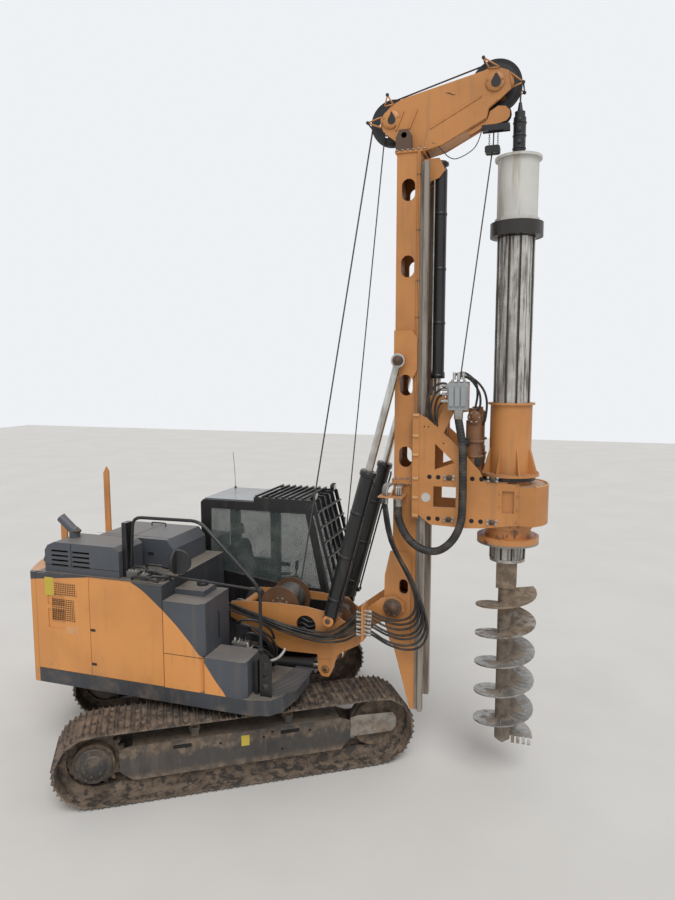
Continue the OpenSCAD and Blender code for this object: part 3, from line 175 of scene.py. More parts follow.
# One mesh of several, with their points and faces one after another
def joinMeshes(name, meshes):
    faces, smooth, start = [], [], 0
    for mesh in meshes:
        faces += [[v + start for v in p.vertices] for p in mesh.polygons]
        smooth += [p.use_smooth for p in mesh.polygons]
        start += len(mesh.vertices)
    joined = newMesh(name, np.vstack([pointsOf(mesh) for mesh in meshes]), faces)
    joined.polygons.foreach_set("use_smooth", smooth)
    if all(mesh.uv_layers for mesh in meshes):
        layers = [np.zeros(len(mesh.loops) * 2) for mesh in meshes]
        for mesh, layer in zip(meshes, layers):
            mesh.uv_layers[0].data.foreach_get("uv", layer)
        joined.uv_layers.new(name="UVMap").data.foreach_set("uv", np.concatenate(layers))
    return joined


# Copies of a shape, each turned so that its Z axis lies along its own axis at its own place
def scatterShape(name, shape, places, axes, spins=0.0):
    points, faces = shape
    places = np.asarray(places, float)
    axes = unitRows(np.broadcast_to(np.asarray(axes, float), places.shape))
    side = unitRows(np.cross(np.where(np.abs(axes[:, 2:]) < 0.9, [up], [ahead]), axes))
    lift = np.cross(axes, side)
    spin = np.broadcast_to(np.asarray(spins, float), len(places))[:, None]
    side = np.cos(spin) * side + np.sin(spin) * lift
    lift = np.cross(axes, side)
    moved = points[None, :, 0:1] * side[:, None] + points[None, :, 1:2] * lift[:, None]
    moved = places[:, None] + moved + points[None, :, 2:3] * axes[:, None]
    starts = np.arange(len(places)) * len(points)
    return newMesh(name, moved, [[v + s for v in face] for s in starts.tolist() for face in faces])


# Shares of a bolt's radius and height, and its turn on its axis
boltHead = {"washer": 1.35, "washerHeight": 0.22, "chamferFrom": 0.85, "chamfer": 0.82, "sunk": 0.0005, "spin": 0.4}


# Hexagon head with a chamfered top on a round washer
def boltShape(radius, height, p):
    washer, hexagon = np.arange(12) * np.pi / 6, np.arange(6) * np.pi / 3
    thick, chamfer = height * p["washerHeight"], height * p["chamferFrom"]
    rings = ((washer, radius * p["washer"], -p["sunk"]), (washer, radius * p["washer"], thick), (hexagon, radius, thick),
             (hexagon, radius, chamfer), (hexagon, radius * p["chamfer"], height))
    points = np.vstack([circle((0, 0, z), r, angles, left) for angles, r, z in rings])
    faces = [list(range(12))[::-1], list(range(12, 24)), list(range(36, 42)), list(range(24, 30))[::-1]]
    for start, count in ((0, 12), (24, 6), (30, 6)):
        for k in range(count):
            n = (k + 1) % count
            faces.append([start + k, start + n, start + count + n, start + count + k])
    return points, faces


# Faces point outwards, and each edge sharper than 30 degrees gets a small bevel
def sharpened(mesh, bevel=2.0):
    work = bmesh.new()
    work.from_mesh(mesh)
    bmesh.ops.recalc_face_normals(work, faces=list(work.faces))
    if bevel:
        edges = [edge for edge in work.edges if len(edge.link_faces) == 2 and edge.calc_face_angle(0) > 0.5]
        bmesh.ops.bevel(work, geom=edges, offset=bevel / 1000, segments=1, affect="EDGES", profile=0.5,
                        clamp_overlap=True)
    work.to_mesh(mesh)
    work.free()
    return mesh


# An outline of X and Z between two values of Y: quads around, and a polygon at each end
def plate(outline, low, high, bevel=2.0):
    count = len(outline)
    points = np.zeros((2, count, 3))
    points[:, :, ::2] = outline
    points[0, :, 1], points[1, :, 1] = sorted((low, high))
    k = np.arange(count)
    sides = np.stack([k, (k + 1) % count, (k + 1) % count + count, k + count], -1)
    return sharpened(newMesh("plate", mm(points), sides.tolist() + [k[::-1].tolist(), (k + count).tolist()]), bevel)


def rectangle(x0, z0, x1, z1):
    return [(x0, z0), (x1, z0), (x1, z1), (x0, z1)]


def box(low, high, bevel=3.0):
    return plate(rectangle(low[0], low[2], high[0], high[2]), low[1], high[1], bevel)


# A rectangle with its corners cut round by quarter circles
def roundedOutline(x0, z0, x1, z1, radius, steps=5):
    a = np.linspace(0, np.pi / 2, steps)
    centres = rectangle(x1 - radius, z1 - radius, x0 + radius, z0 + radius)
    return [(cx + radius * math.cos(t + k * np.pi / 2), cz + radius * math.sin(t + k * np.pi / 2))
            for k, (cx, cz) in enumerate(centres) for t in a]


def turned(profile, centre, axis, sides=32):
    mesh = gridMesh("turned", turnedGrid(np.asarray(profile, float) / 1000, mm(centre), axis, sides))
    mesh.set_sharp_from_angle(angle=math.radians(35))
    return mesh


def pipe(route, radius, sides=8, reference=left, perSpan=5):
    route = smoothRoute(route, perSpan) if len(route) > 2 else np.asarray(route, float)
    return gridMesh("pipe", tubeGrid(mm(route), radius / 1000, sides, reference))


# A turned profile as loose points and faces, to scatter
def turnedShape(profile, sides=12):
    quads, caps = gridFaces(len(profile), sides)[2:]
    grid = turnedGrid(np.asarray(profile, float) / 1000, np.zeros(3), up, sides)
    return grid.reshape(-1, 3), quads.tolist() + caps


def bolts(places, axis, radius, height):
    return scatterShape("bolts", boltShape(radius / 1000, height / 1000, boltHead), mm(places), axis, boltHead["spin"])


# A piece's solids from its rows, on both sides where it is mirrored: the mirror changes the sign of y.
# plates: outline, low, high, bevel. boxes: low, high, bevel. caps: profile, centre, axis, sides.
# pipes: route, radius, sides, reference. studs: places, axis, radius, height.
def solids(mirrored=False, plates=(), boxes=(), caps=(), pipes=(), studs=()):
    made = []
    for s in (-1, 1) if mirrored else (1,):
        flip = np.array([1, s, 1])
        made += [plate(outline, s * low, s * high, bevel) for outline, low, high, bevel in plates]
        made += [box(flip * low, flip * high, *bevel) for low, high, *bevel in boxes]
        made += [turned(profile, flip * at, flip * axis, sides) for profile, at, axis, sides in caps]
        made += [pipe(flip * route, *rest) for route, *rest in pipes]
        made += [bolts(flip * places, flip * axis, radius, height) for places, axis, radius, height in studs]
    return made


# A mesh, or several joined, becomes a piece, which rides on its body when that is one body's name
def addPiece(name, mesh, body, finish, hides=()):
    mesh = joinMeshes(name, mesh) if isinstance(mesh, list) else mesh
    piece = bpy.data.objects.new(name, mesh)
    bpy.context.scene.collection.objects.link(piece)
    mesh.materials.append(finishes[finish])
    if isinstance(body, str):
        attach(piece, body)
    if hides:
        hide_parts(*hides)
    return piece


# A table of pieces: each name has its body, its finish and the rows of its solids.
# The rows under "once" are made on one side only.
def addFittings(table):
    for name, (body, finish, rows) in table.items():
        rows = dict(rows)
        slot, hides, once = rows.pop("slot", None), rows.pop("hides", ()), rows.pop("once", {})
        addPiece(name, solids(**rows) + solids(**once), body, finish, hides)


# Finishes, all on Object coordinates
def plug(node, key, value):
    if isinstance(value, bpy.types.NodeSocket):
        node.id_data.links.new(value, node.inputs[key])
    else:
        node.inputs[key].default_value = value


def addNode(tree, kind, inputs=(), **settings):
    made = tree.nodes.new(kind)
    for key, value in settings.items():
        setattr(made, key, value)
    for key, value in dict(inputs).items():
        plug(made, key, value)
    return made


# A node in the tree that its first linked input comes from
def wired(kind, inputs, **settings):
    tree = next(value.id_data for value in inputs.values() if isinstance(value, bpy.types.NodeSocket))
    return addNode(tree, kind, inputs, **settings)


# Colour between first and second by the mask
def mixed(mask, first, second):
    first, second = (c if isinstance(c, bpy.types.NodeSocket) else (*c, 1) for c in (first, second))
    return wired("ShaderNodeMix", {0: mask, 6: first, 7: second}, data_type="RGBA").outputs[2]


def maths(operation, *values):
    return wired("ShaderNodeMath", dict(enumerate(values)), operation=operation).outputs[0]


def times(first, *others):
    for value in others:
        first = maths("MULTIPLY", first, value)
    return first


def inverse(value):
    return maths("SUBTRACT", 1.0, value)


def split(vector):
    return wired("ShaderNodeSeparateXYZ", {0: vector}).outputs


def noise(coords, scale, detail=4.0, rough=0.55, stretch=None):
    if stretch:
        coords = wired("ShaderNodeMapping", {"Vector": coords, "Scale": stretch}).outputs[0]
    inputs = {"Vector": coords, "Scale": scale, "Detail": detail, "Roughness": rough}
    return wired("ShaderNodeTexNoise", inputs).outputs[0]


# The value rises from toLow to toHigh between low and high
def between(value, low, high, toLow=0.0, toHigh=1.0):
    return wired("ShaderNodeMapRange", {0: value, 1: low, 2: high, 3: toLow, 4: toHigh},
                 interpolation_type="SMOOTHSTEP").outputs[0]


def newFinish(name):
    material = bpy.data.materials.new(name)
    material.use_nodes = True
    tree = material.node_tree
    places = addNode(tree, "ShaderNodeTexCoord").outputs
    return material, tree.nodes["Principled BSDF"], places["Object"], places["UV"]


# bump: height, strength, distance
def setShader(shader, tone, rough, metal=0.0, bump=None):
    plug(shader, "Base Color", tone)
    plug(shader, "Roughness", rough)
    plug(shader, "Metallic", metal)
    if bump:
        inputs = dict(zip(("Height", "Strength", "Distance"), bump))
        plug(shader, "Normal", wired("ShaderNodeBump", inputs).outputs[0])


# Where the bevelled normal leaves the true one, near edges
def edgeMask(tree, reach):
    bevel = addNode(tree, "ShaderNodeBevel", {"Radius": reach}, samples=4).outputs[0]
    true = addNode(tree, "ShaderNodeNewGeometry").outputs["Normal"]
    dot = wired("ShaderNodeVectorMath", {0: bevel, 1: true}, operation="DOT_PRODUCT").outputs["Value"]
    return between(dot, 0.995, 0.9)


def mudTone(coords, scale, light, dark):
    return mixed(between(noise(coords, scale, 5), 0.35, 0.65), light, dark)


# Two colours of paint meet on the right side of the house, along this curve of X and Z from the slewing axis in metres
paintEdge = {
    "curve": [(-0.70, 2.29), (-0.56, 2.24), (-0.43, 2.17), (-0.28, 2.055), (-0.12, 1.92), (0.05, 1.755), (0.29, 1.475),
              (0.44, 1.265), (0.565, 1.10)],
    "left": -0.75, "span": 1.5, "top": 2.5, "face": -1.20, "blur": 0.004, "endHeight": 0.25,
}


# 1 above and ahead of the curve, and 1 on the side face alone
def paintEdgeMask(coords, e):
    x, y, z = split(coords)
    curve = wired("ShaderNodeFloatCurve", {"Value": maths("DIVIDE", maths("SUBTRACT", x, slewX + e["left"]), e["span"])})
    points = curve.mapping.curves[0].points
    spots = [((a - e["left"]) / e["span"], b / e["top"]) for a, b in e["curve"]]
    points[0].location, points[1].location = (0.0, spots[0][1]), (1.0, e["endHeight"])
    for spot in spots:
        points.new(*spot)
    curve.mapping.update()
    height = maths("SUBTRACT", z, times(curve.outputs[0], e["top"]))
    return between(height, -e["blur"], e["blur"]), between(y, e["face"] + e["blur"] / 2, e["face"])


# X from the drilling axis, Y, Z, and the distance from that axis
def fromDrill(coords):
    x, y, z = split(coords)
    x = maths("SUBTRACT", x, drillX)
    return x, y, z, maths("SQRT", maths("ADD", times(x, x), times(y, y)))


# Painted shade beside the six ribs of the kelly: angle from the nearest rib, inside the ribs' tops
def ribShadow(coords):
    x, y, z, radius = fromDrill(coords)
    turns = maths("DIVIDE", maths("ARCTAN2", y, x), math.pi / 3)
    share = maths("ABSOLUTE", maths("SUBTRACT", maths("FRACT", maths("ADD", turns, 0.5)), 0.5))
    wobble = times(noise(coords, 3, 4, 0.6, (1, 1, 0.5)), 0.16)
    return times(between(maths("ADD", share, wobble), 0.40, 0.32), between(radius, 0.188, 0.184))


# Bare worn steel on the mast's rails: away from the middle and ahead of the box
rails = {"aside": 0.172, "ahead": 2.391, "blur": 0.004}


def railMask(coords, r):
    x, y, z = split(coords)
    return times(between(maths("ABSOLUTE", y), r["aside"], r["aside"] + r["blur"]),
                 between(x, slewX + r["ahead"], slewX + r["ahead"] + r["blur"]))


paintDefaults = dict(shade=0.78, dirt=(0.16, 0.125, 0.095), runs=0.25, dust=0.35, dustColour=(0.36, 0.30, 0.24), wear=0,
                     rough=(0.38, 0.58), mudTop=None, mud=0.9, bump=0.12, otherColour=None, rails=False, cleanFace=None)


# Paint with cloudy tone, vertical dirt runs, dust on top faces, worn edges and mud from below
def paintFinish(name, p):
    p = {**paintDefaults, **p}
    material, shader, coords, uv = newFinish(name)
    tree = material.node_tree
    height = split(coords)[2]
    cloud, grain = noise(coords, 1.7, 5), noise(coords, 60, 5)
    runs = noise(coords, 5, 4, 0.6, (2.2, 2.2, 0.22))
    tone = mixed(between(cloud, 0.35, 0.68), p["colour"], [c * p["shade"] for c in p["colour"]])
    if p["otherColour"]:
        above, side = paintEdgeMask(coords, paintEdge)
        tone = mixed(times(above if p["otherAbove"] else inverse(above), side), tone, p["otherColour"])
    if p["rails"]:
        bare = mixed(between(runs, 0.42, 0.66), (0.29, 0.255, 0.215), (0.12, 0.095, 0.072))
        tone = mixed(railMask(coords, rails), tone, bare)
    tone = mixed(times(between(runs, 0.52, 0.72), p["runs"]), tone, p["dirt"])
    normal = addNode(tree, "ShaderNodeNewGeometry").outputs["Normal"]
    top = times(between(split(normal)[2], 0.55, 0.95), p["dust"], between(cloud, 0.3, 0.6, 0.45, 1.0))
    tone = mixed(top, tone, p["dustColour"])
    if p["wear"]:
        tone = mixed(times(edgeMask(tree, 0.008), between(grain, 0.45, 0.62), p["wear"]), tone, (0.11, 0.085, 0.07))
    rough = between(cloud, 0.3, 0.7, *p["rough"])
    bump = (grain, p["bump"], 0.0015)
    if p["mudTop"]:
        line = maths("ADD", height, between(noise(coords, 3.2, 6), 0.3, 0.7, -0.35, 0.35))
        mud = times(between(line, p["mudTop"], p["mudTop"] - 0.5), p["mud"],
                    between(noise(coords, 9, 6), 0.38, 0.52, 0.35, 1.0))
        if p["cleanFace"]:
            low, high = p["cleanFace"]
            streaks = between(noise(coords, 8, 5, 0.6, (1, 1, 0.3)), 0.3, 0.7, -0.06, 0.06)
            under = between(maths("ADD", height, streaks), high, high - 0.05)
            clean = times(under, between(height, low - 0.06, low + 0.02))
            mud = times(mud, inverse(times(clean, 0.86)))
        tone = mixed(mud, tone, mudTone(coords, 14, (0.235, 0.175, 0.125), (0.13, 0.095, 0.068)))
        rough = maths("MULTIPLY_ADD", mud, 0.35, rough)
        bump = (maths("MULTIPLY_ADD", mud, noise(coords, 28, 6), times(grain, 0.12)), p["bump"], 0.004)
    setShader(shader, tone, rough, 0.0, bump)
    return material


steelDefaults = dict(stretch=(4.0, 4.0, 0.35), runLow=0.5, runs=0.7, runColour=(0.10, 0.075, 0.055), rough=(0.28, 0.6),
                     metal=0.85, bump=0.15, ribs=False, paintFrom=None, greaseFrom=None, mudMask=None)


# Bare steel with runs of grease and rust along Z, and with paint, grease, mud or painted rib shade where it is asked
# for
def steelFinish(name, p):
    p = {**steelDefaults, **p}
    material, shader, coords, uv = newFinish(name)
    height = split(coords)[2]
    cloud, grain = noise(coords, 3.5, 5), noise(coords, 90, 4)
    runs = noise(coords, 6, 6, 0.65, p["stretch"])
    tone = mixed(between(cloud, 0.35, 0.65), p["colour"], p["second"])
    runMask = times(between(runs, p["runLow"], 0.66), p["runs"])
    tone = mixed(runMask, tone, p["runColour"])
    rough = between(runs, 0.35, 0.7, *p["rough"])
    metal = between(runMask, 0.0, 0.6, p["metal"], p["metal"] * 0.25)
    # Painted shade beside the kelly's ribs: dark colour and less metal there
    if p["ribs"]:
        shadow = ribShadow(coords)
        tone, metal = mixed(shadow, tone, (0.05, 0.04, 0.032)), times(metal, inverse(shadow))
    if p["paintFrom"]:
        painted = between(height, p["paintFrom"] - 0.004, p["paintFrom"])
        flaked = times(painted, between(noise(coords, 7, 6, 0.6, (1, 1, 0.6)), 0.62, 0.54))
        tone = mixed(flaked, mixed(painted, tone, (0.16, 0.08, 0.04)), (0.50, 0.215, 0.07))
        metal = times(metal, inverse(painted))
    if p["greaseFrom"]:
        grease = between(height, p["greaseFrom"] - 0.01, p["greaseFrom"])
        tone, metal = mixed(grease, tone, (0.022, 0.018, 0.015)), times(metal, inverse(grease))
    if p["mudMask"]:
        mask = p["mudMask"](coords, auger)
        tone = mixed(mask, tone, mudTone(coords, 14, (0.27, 0.205, 0.145), (0.15, 0.11, 0.08)))
        rough = maths("MAXIMUM", rough, times(mask, 0.85))
        metal = times(metal, inverse(mask))
        grain = maths("MULTIPLY_ADD", mask, noise(coords, 26, 6), times(grain, 0.15))
    setShader(shader, tone, rough, metal, (grain, p["bump"], 0.003))
    return material


# Dark steel under packed mud, with the mud broken on the grouser bars
def trackFinish(name):
    material, shader, coords, uv = newFinish(name)
    lumps = noise(coords, 11, 8, 0.62)
    clods = wired("ShaderNodeTexVoronoi", {"Vector": coords, "Scale": 34.0}).outputs["Distance"]
    mask = between(lumps, 0.40, 0.54)
    edges = times(edgeMask(material.node_tree, 0.006), between(lumps, 0.42, 0.6, 0.9, 0.2))
    tone = mixed(mask, (0.062, 0.052, 0.045), mudTone(coords, 5, (0.235, 0.175, 0.13), (0.135, 0.10, 0.072)))
    tone = mixed(edges, tone, (0.10, 0.095, 0.09))
    height = maths("MULTIPLY_ADD", times(clods, mask), 0.5, lumps)
    setShader(shader, tone, between(mask, 0, 1, 0.55, 0.92), 0.0, (height, 0.8, 0.012))
    return material


# Tinted pane: part see-through, part smooth reflection, with a film of dust
def glassFinish(name):
    material, shader, coords, uv = newFinish(name)
    film = noise(coords, 4, 6)
    tone = mixed(between(film, 0.4, 0.75), (0.10, 0.13, 0.125), (0.22, 0.23, 0.21))
    setShader(shader, tone, between(film, 0.3, 0.8, 0.03, 0.22))
    plug(shader, "Alpha", between(film, 0.35, 0.8, 0.34, 0.52))
    plug(shader, "IOR", 1.5)
    return material


# Laid strands: slanting bands round the rope from its own UV map
def ropeFinish(name):
    material, shader, coords, uv = newFinish(name)
    around, along = split(uv)[:2]
    phase = maths("MULTIPLY_ADD", along, 95.0, times(around, 6.0))
    strand = maths("ABSOLUTE", maths("SINE", times(phase, math.pi)))
    tone = mixed(between(strand, 0.15, 0.8), (0.018, 0.016, 0.015), (0.13, 0.12, 0.11))
    setShader(shader, tone, 0.42, 0.5, (strand, 0.9, 0.003))
    return material


# Black rubber or sleeve, wrapped in turns along its UV map, with a film of dust
def hoseFinish(name, turns, depth):
    material, shader, coords, uv = newFinish(name)
    wrap = maths("ABSOLUTE", maths("SINE", times(split(uv)[1], turns)))
    film = noise(coords, 7, 5)
    tone = mixed(between(film, 0.42, 0.72), (0.014, 0.013, 0.013), (0.075, 0.062, 0.05))
    setShader(shader, tone, between(film, 0.3, 0.7, 0.42, 0.7), 0.0, (wrap, depth, 0.003))
    return material


# The auger is muddy at its top and near its stem, and bright towards the flights' edges
auger = {"cleanRadius": 0.24, "mudFrom": 1.45, "mudFull": 1.9}


def augerMud(coords, p):
    x, y, z, radius = fromDrill(coords)
    wobble = between(noise(coords, 7, 6), 0.3, 0.7, -0.12, 0.12)
    inner = between(maths("ADD", radius, wobble), p["cleanRadius"], p["cleanRadius"] - 0.08, 0.0, 0.75)
    return maths("MAXIMUM", inner, between(maths("ADD", z, times(wobble, 2.0)), p["mudFrom"], p["mudFull"]))


orange, rigOrange = (0.70, 0.30, 0.085), (0.56, 0.24, 0.072)
darkGrey, iron = (0.046, 0.050, 0.058), (0.022, 0.018, 0.015)
rigPaint = dict(colour=rigOrange, shade=0.80, runs=0.22, dust=0.45, wear=0.7, bump=0.10)
paints = {
    "houseOrange": dict(colour=orange, otherColour=darkGrey, otherAbove=True, shade=0.88, runs=0.10, dust=0.3, wear=0.35,
                        mudTop=1.12, mud=0.35, bump=0.08, rough=(0.3, 0.45)),
    "rigOrange": rigPaint,
    "mastOrange": {**rigPaint, "rails": True},
    # Black roof paint painted bluish grey, a painted reflection of the sky
    "roofPaintedSkyReflection": dict(colour=(0.20, 0.22, 0.24), runs=0.1, dust=0.2, rough=(0.15, 0.25), bump=0.02),
    "motorRust": dict(colour=(0.24, 0.105, 0.042), shade=0.6, runs=0.5, dust=0.3, wear=0.6, bump=0.4, rough=(0.5, 0.7)),
    "palePaint": dict(colour=(0.36, 0.38, 0.39), shade=0.8, runs=0.4, dust=0.4, wear=0.5),
    "greasedIron": dict(colour=iron, runs=0.3, dust=0.2, rough=(0.3, 0.5)),
    "trackPale": dict(colour=(0.30, 0.285, 0.26), shade=0.75, runs=0.4, dust=0.5, mudTop=0.9, mud=0.8),
    "houseGrey": dict(colour=darkGrey, shade=0.8, dust=0.5, wear=0.4, mudTop=1.05, mud=0.5),
    "sideGrey": dict(colour=(0.07, 0.078, 0.092), otherColour=orange, otherAbove=False, shade=0.8, dust=0.5, wear=0.4,
                     mudTop=1.05, mud=0.5),
    "hoodGrey": dict(colour=(0.075, 0.083, 0.097), shade=0.85, runs=0.15, wear=0.4, bump=0.2, rough=(0.42, 0.6)),
    "blackPaint": dict(colour=(0.012, 0.012, 0.013), shade=0.8, runs=0.12, dust=0.3, wear=0.35,
                       dustColour=(0.16, 0.14, 0.115), rough=(0.28, 0.48), bump=0.06),
    "blackPlastic": dict(colour=(0.018, 0.018, 0.019), runs=0.1, dust=0.25, rough=(0.45, 0.6), bump=0.3,
                         dustColour=(0.14, 0.12, 0.1)),
    "frameGrey": dict(colour=(0.055, 0.052, 0.05), cleanFace=(0.26, 0.46), runs=0.3, dust=0.6, wear=0.5, mudTop=0.95,
                      mud=0.8, bump=0.7, rough=(0.5, 0.7)),
    "rollerSteel": dict(colour=(0.06, 0.05, 0.043), runs=0.4, dust=0.7, mudTop=1.2, mud=0.85, bump=0.7, rough=(0.5, 0.7)),
    "engineIron": dict(colour=(0.12, 0.12, 0.12), runs=0.4, dust=0.3, bump=0.4),
    "drumIron": dict(colour=(0.16, 0.075, 0.035), shade=0.6, runs=0.35, dust=0.25, wear=0.4, bump=0.3, rough=(0.45, 0.7)),
    # Rig orange lightened into a painted highlight, for the slide tabs and the casing's rim
    "paintedHighlightOrange": dict(colour=(0.66, 0.36, 0.15), shade=0.85, runs=0.3, dust=0.5, wear=0.6),
    "rust": dict(colour=(0.105, 0.058, 0.034), shade=0.55, runs=0.5, dust=0.3, wear=0.5, bump=0.5, rough=(0.5, 0.75)),
    # Near-black for dark seams and a scratch, and painted shade in holes and windows
    "darkMarksAndPaintedHoleShade": dict(colour=(0.008, 0.007, 0.006), runs=0.0, dust=0.0, rough=(0.7, 0.9)),
    "blankPlate": dict(colour=(0.55, 0.54, 0.50), shade=0.85, runs=0.35, dust=0.4),
    "blankPale": dict(colour=(0.66, 0.34, 0.14), shade=0.85, runs=0.3, dust=0.3),
    "blankYellow": dict(colour=(0.60, 0.46, 0.06), shade=0.85, runs=0.3, dust=0.3),
    "stoneGrey": dict(colour=(0.085, 0.09, 0.10), shade=0.8, runs=0.3, dust=0.5, rough=(0.7, 0.85)),
    "lampRed": dict(colour=(0.16, 0.012, 0.008), runs=0.3, dust=0.3, rough=(0.15, 0.3)),
    "lampGlass": dict(colour=(0.62, 0.63, 0.62), runs=0.1, dust=0.2, rough=(0.08, 0.15)),
    "screenGlass": dict(colour=(0.01, 0.012, 0.016), runs=0.05, dust=0.2, rough=(0.08, 0.15)),
    "seatFabric": dict(colour=(0.022, 0.022, 0.024), shade=0.8, runs=0.1, dust=0.25, bump=0.6, rough=(0.85, 0.95)),
    "whitePaint": dict(colour=(0.62, 0.61, 0.57), shade=0.82, runs=0.5, dirt=(0.30, 0.24, 0.17), dust=0.3, wear=0.5,
                       bump=0.2, rough=(0.45, 0.65)),
}
bright = dict(colour=(0.60, 0.58, 0.54), second=(0.36, 0.34, 0.31))
steels = {
    "wornSteel": dict(bright, runs=0.75, runColour=(0.09, 0.07, 0.055), metal=0.75),
    "chrome": dict(colour=(0.62, 0.61, 0.58), second=(0.42, 0.39, 0.35), runs=0.3, rough=(0.12, 0.3), metal=0.95,
                   bump=0.02),
    # The kelly: grease runs and a greased top, and painted shade beside its ribs
    "greasedSteelWithPaintedRibShade": dict(bright, runs=0.9, runLow=0.47, runColour=(0.055, 0.045, 0.038), metal=0.6, greaseFrom=5.915,
                         ribs=True),
    "sleeveSteel": dict(colour=(0.40, 0.38, 0.35), second=(0.26, 0.24, 0.22), runs=0.7, paintFrom=2.733),
    "zinc": dict(colour=(0.50, 0.49, 0.46), second=(0.34, 0.32, 0.29), runs=0.45, rough=(0.25, 0.5), metal=0.8, bump=0.1),
    "augerSteel": dict(colour=(0.42, 0.41, 0.39), second=(0.26, 0.25, 0.235), runs=0.45, stretch=(3.0, 3.0, 1.5),
                       metal=0.7, mudMask=augerMud, bump=0.5),
}
finishes = {name: paintFinish(name, p) for name, p in paints.items()}
finishes.update({name: steelFinish(name, p) for name, p in steels.items()})
finishes.update({
    "trackMud": trackFinish("trackMud"), "glass": glassFinish("glass"), "rope": ropeFinish("rope"),
    "hose": hoseFinish("hose", 420.0, 0.25), "sleeve": hoseFinish("sleeve", 95.0, 0.8),
})
slotFinish = {
    "frame_grey": "frameGrey", "track_steel": "trackMud", "roller_steel": "rollerSteel",
    "house_orange": "houseOrange", "rig_orange": "rigOrange", "house_grey": "houseGrey",
    "hood_grey": "hoodGrey", "engine_iron": "engineIron", "black_paint": "blackPaint",
    "black_plastic": "blackPlastic", "glass": "glass", "seat_fabric": "seatFabric",
    "chrome": "chrome", "wire_rope": "rope", "drum_iron": "drumIron", "worn_steel": "wornSteel",
    "white_paint": "whitePaint", "hose_rubber": "hose",
}
# The slot of each finish that isn't a slot's own
finishSlot = {finish: slot for slot, finish in slotFinish.items()}
finishSlot.update({
    "zinc": "chrome", "sleeve": "hose_rubber", "mastOrange": "rig_orange", "paintedHighlightOrange": "rig_orange",
    "greasedIron": "black_paint", "darkMarksAndPaintedHoleShade": "black_paint", "roofPaintedSkyReflection": "black_paint", "rust": "drum_iron",
    "motorRust": "drum_iron", "blankPlate": "white_paint", "blankYellow": "house_orange", "blankPale": "house_orange",
    "stoneGrey": "house_grey", "lampRed": "black_plastic", "screenGlass": "glass", "lampGlass": "glass",
    "trackPale": "frame_grey",
})
nodeFinish = {
    "auger": "augerSteel", "mast_lower": "mastOrange", "mast_upper": "mastOrange", "kelly_outer": "greasedSteelWithPaintedRibShade",
    "tank": "sideGrey", "step_box": "sideGrey", "rotary_motors": "motorRust", "hose_block": "palePaint",
    "drive_sleeve": "sleeveSteel",
}
nodeSlot = {part["node"]: part["material_slot"] for part in frame["record"]["subparts"]}
for nodeName, node in nodes.items():
    node.data.materials.clear()
    node.data.materials.append(finishes[nodeFinish.get(nodeName, slotFinish[nodeSlot[nodeName]])])
print("finishes made:", len(finishes))


# A cord along its route, riding on its body; a cord given two bodies rides on neither and keeps its place
def layCord(name, route, radius, body, finish, hides=(), sides=8):
    line = mm(route)
    piece = addPiece(name, gridMesh(name, tubeGrid(line, radius / 1000, sides)), body, finish, hides)
    if not isinstance(body, str):
        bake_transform(piece)


ropes = {
    "rearWheel": (2050, 0, 7180), "rearRadius": 223, "frontWheel": (3117, 0, 7430), "frontRadius": 243,
    "smallWheel": (3190, -71, 7125), "smallRadius": 78, "leaveAngle": 172,
    "radius": 9, "thinRadius": 7, "strandPoints": 24,
    "drum": (945, -120, 1727), "auxDrum": (1401, 96, 1698), "auxTop": (1972, -56, 7110), "auxEnd": (2850, -287, 4462),
    "kellyDown": [(3360, 0, 7250), (3360, 0, 6950), (3360, 0, 5200), (3360, 0, 2660)],
    "limit": [(3000, -128, 6995), (2990, -130, 6955), (2965, -130, 6880), (2930, -130, 6818), (2878, -130, 6776),
              (2800, -130, 6738), (2723, -130, 6722), (2657, -130, 6753), (2610, -130, 6805), (2563, -130, 6857),
              (2520, -134, 6890), (2489, -134, 6902)],
    "limitRadius": 5,
}


# Points round a wheel from one angle to another, in degrees
def wheelArc(centre, radius, start, end, count):
    return circle(centre, radius, np.radians(np.linspace(start, end, count)))


# The straight run between the wheels touches both, so it leans by their offset and the change of radius
topAngle = math.degrees(math.atan2(250, 1067) + math.asin(20 / 1095.9)) + 90
overHead = np.vstack([
    wheelArc(ropes["rearWheel"], ropes["rearRadius"], ropes["leaveAngle"], topAngle, 14),
    wheelArc(ropes["frontWheel"], ropes["frontRadius"], topAngle, 0, 18),
    ropes["kellyDown"],
])
layCord("hoistRopeHead", overHead, ropes["radius"], "mast", "rope", hides=["hoist_rope"])
for name, start, end, radius in (("hoistRopeRear", ropes["drum"], overHead[0], ropes["radius"]),
                                 ("auxRopeRear", ropes["auxDrum"], ropes["auxTop"], ropes["thinRadius"])):
    line = np.linspace(start, end, ropes["strandPoints"])
    layCord(name, line, radius, ("boom", "mast"), "rope")
auxArc = wheelArc(ropes["smallWheel"], ropes["smallRadius"], 60, 180, 10)
layCord("auxRopeFront", np.vstack([auxArc, np.linspace((3109, -74, 6860), ropes["auxEnd"], 16)]), ropes["thinRadius"],
        ("mast", "carriage"), "rope")
layCord("limitCable", smoothRoute(ropes["limit"], 3), ropes["limitRadius"], "mast", "blackPlastic")
print("ropes laid")

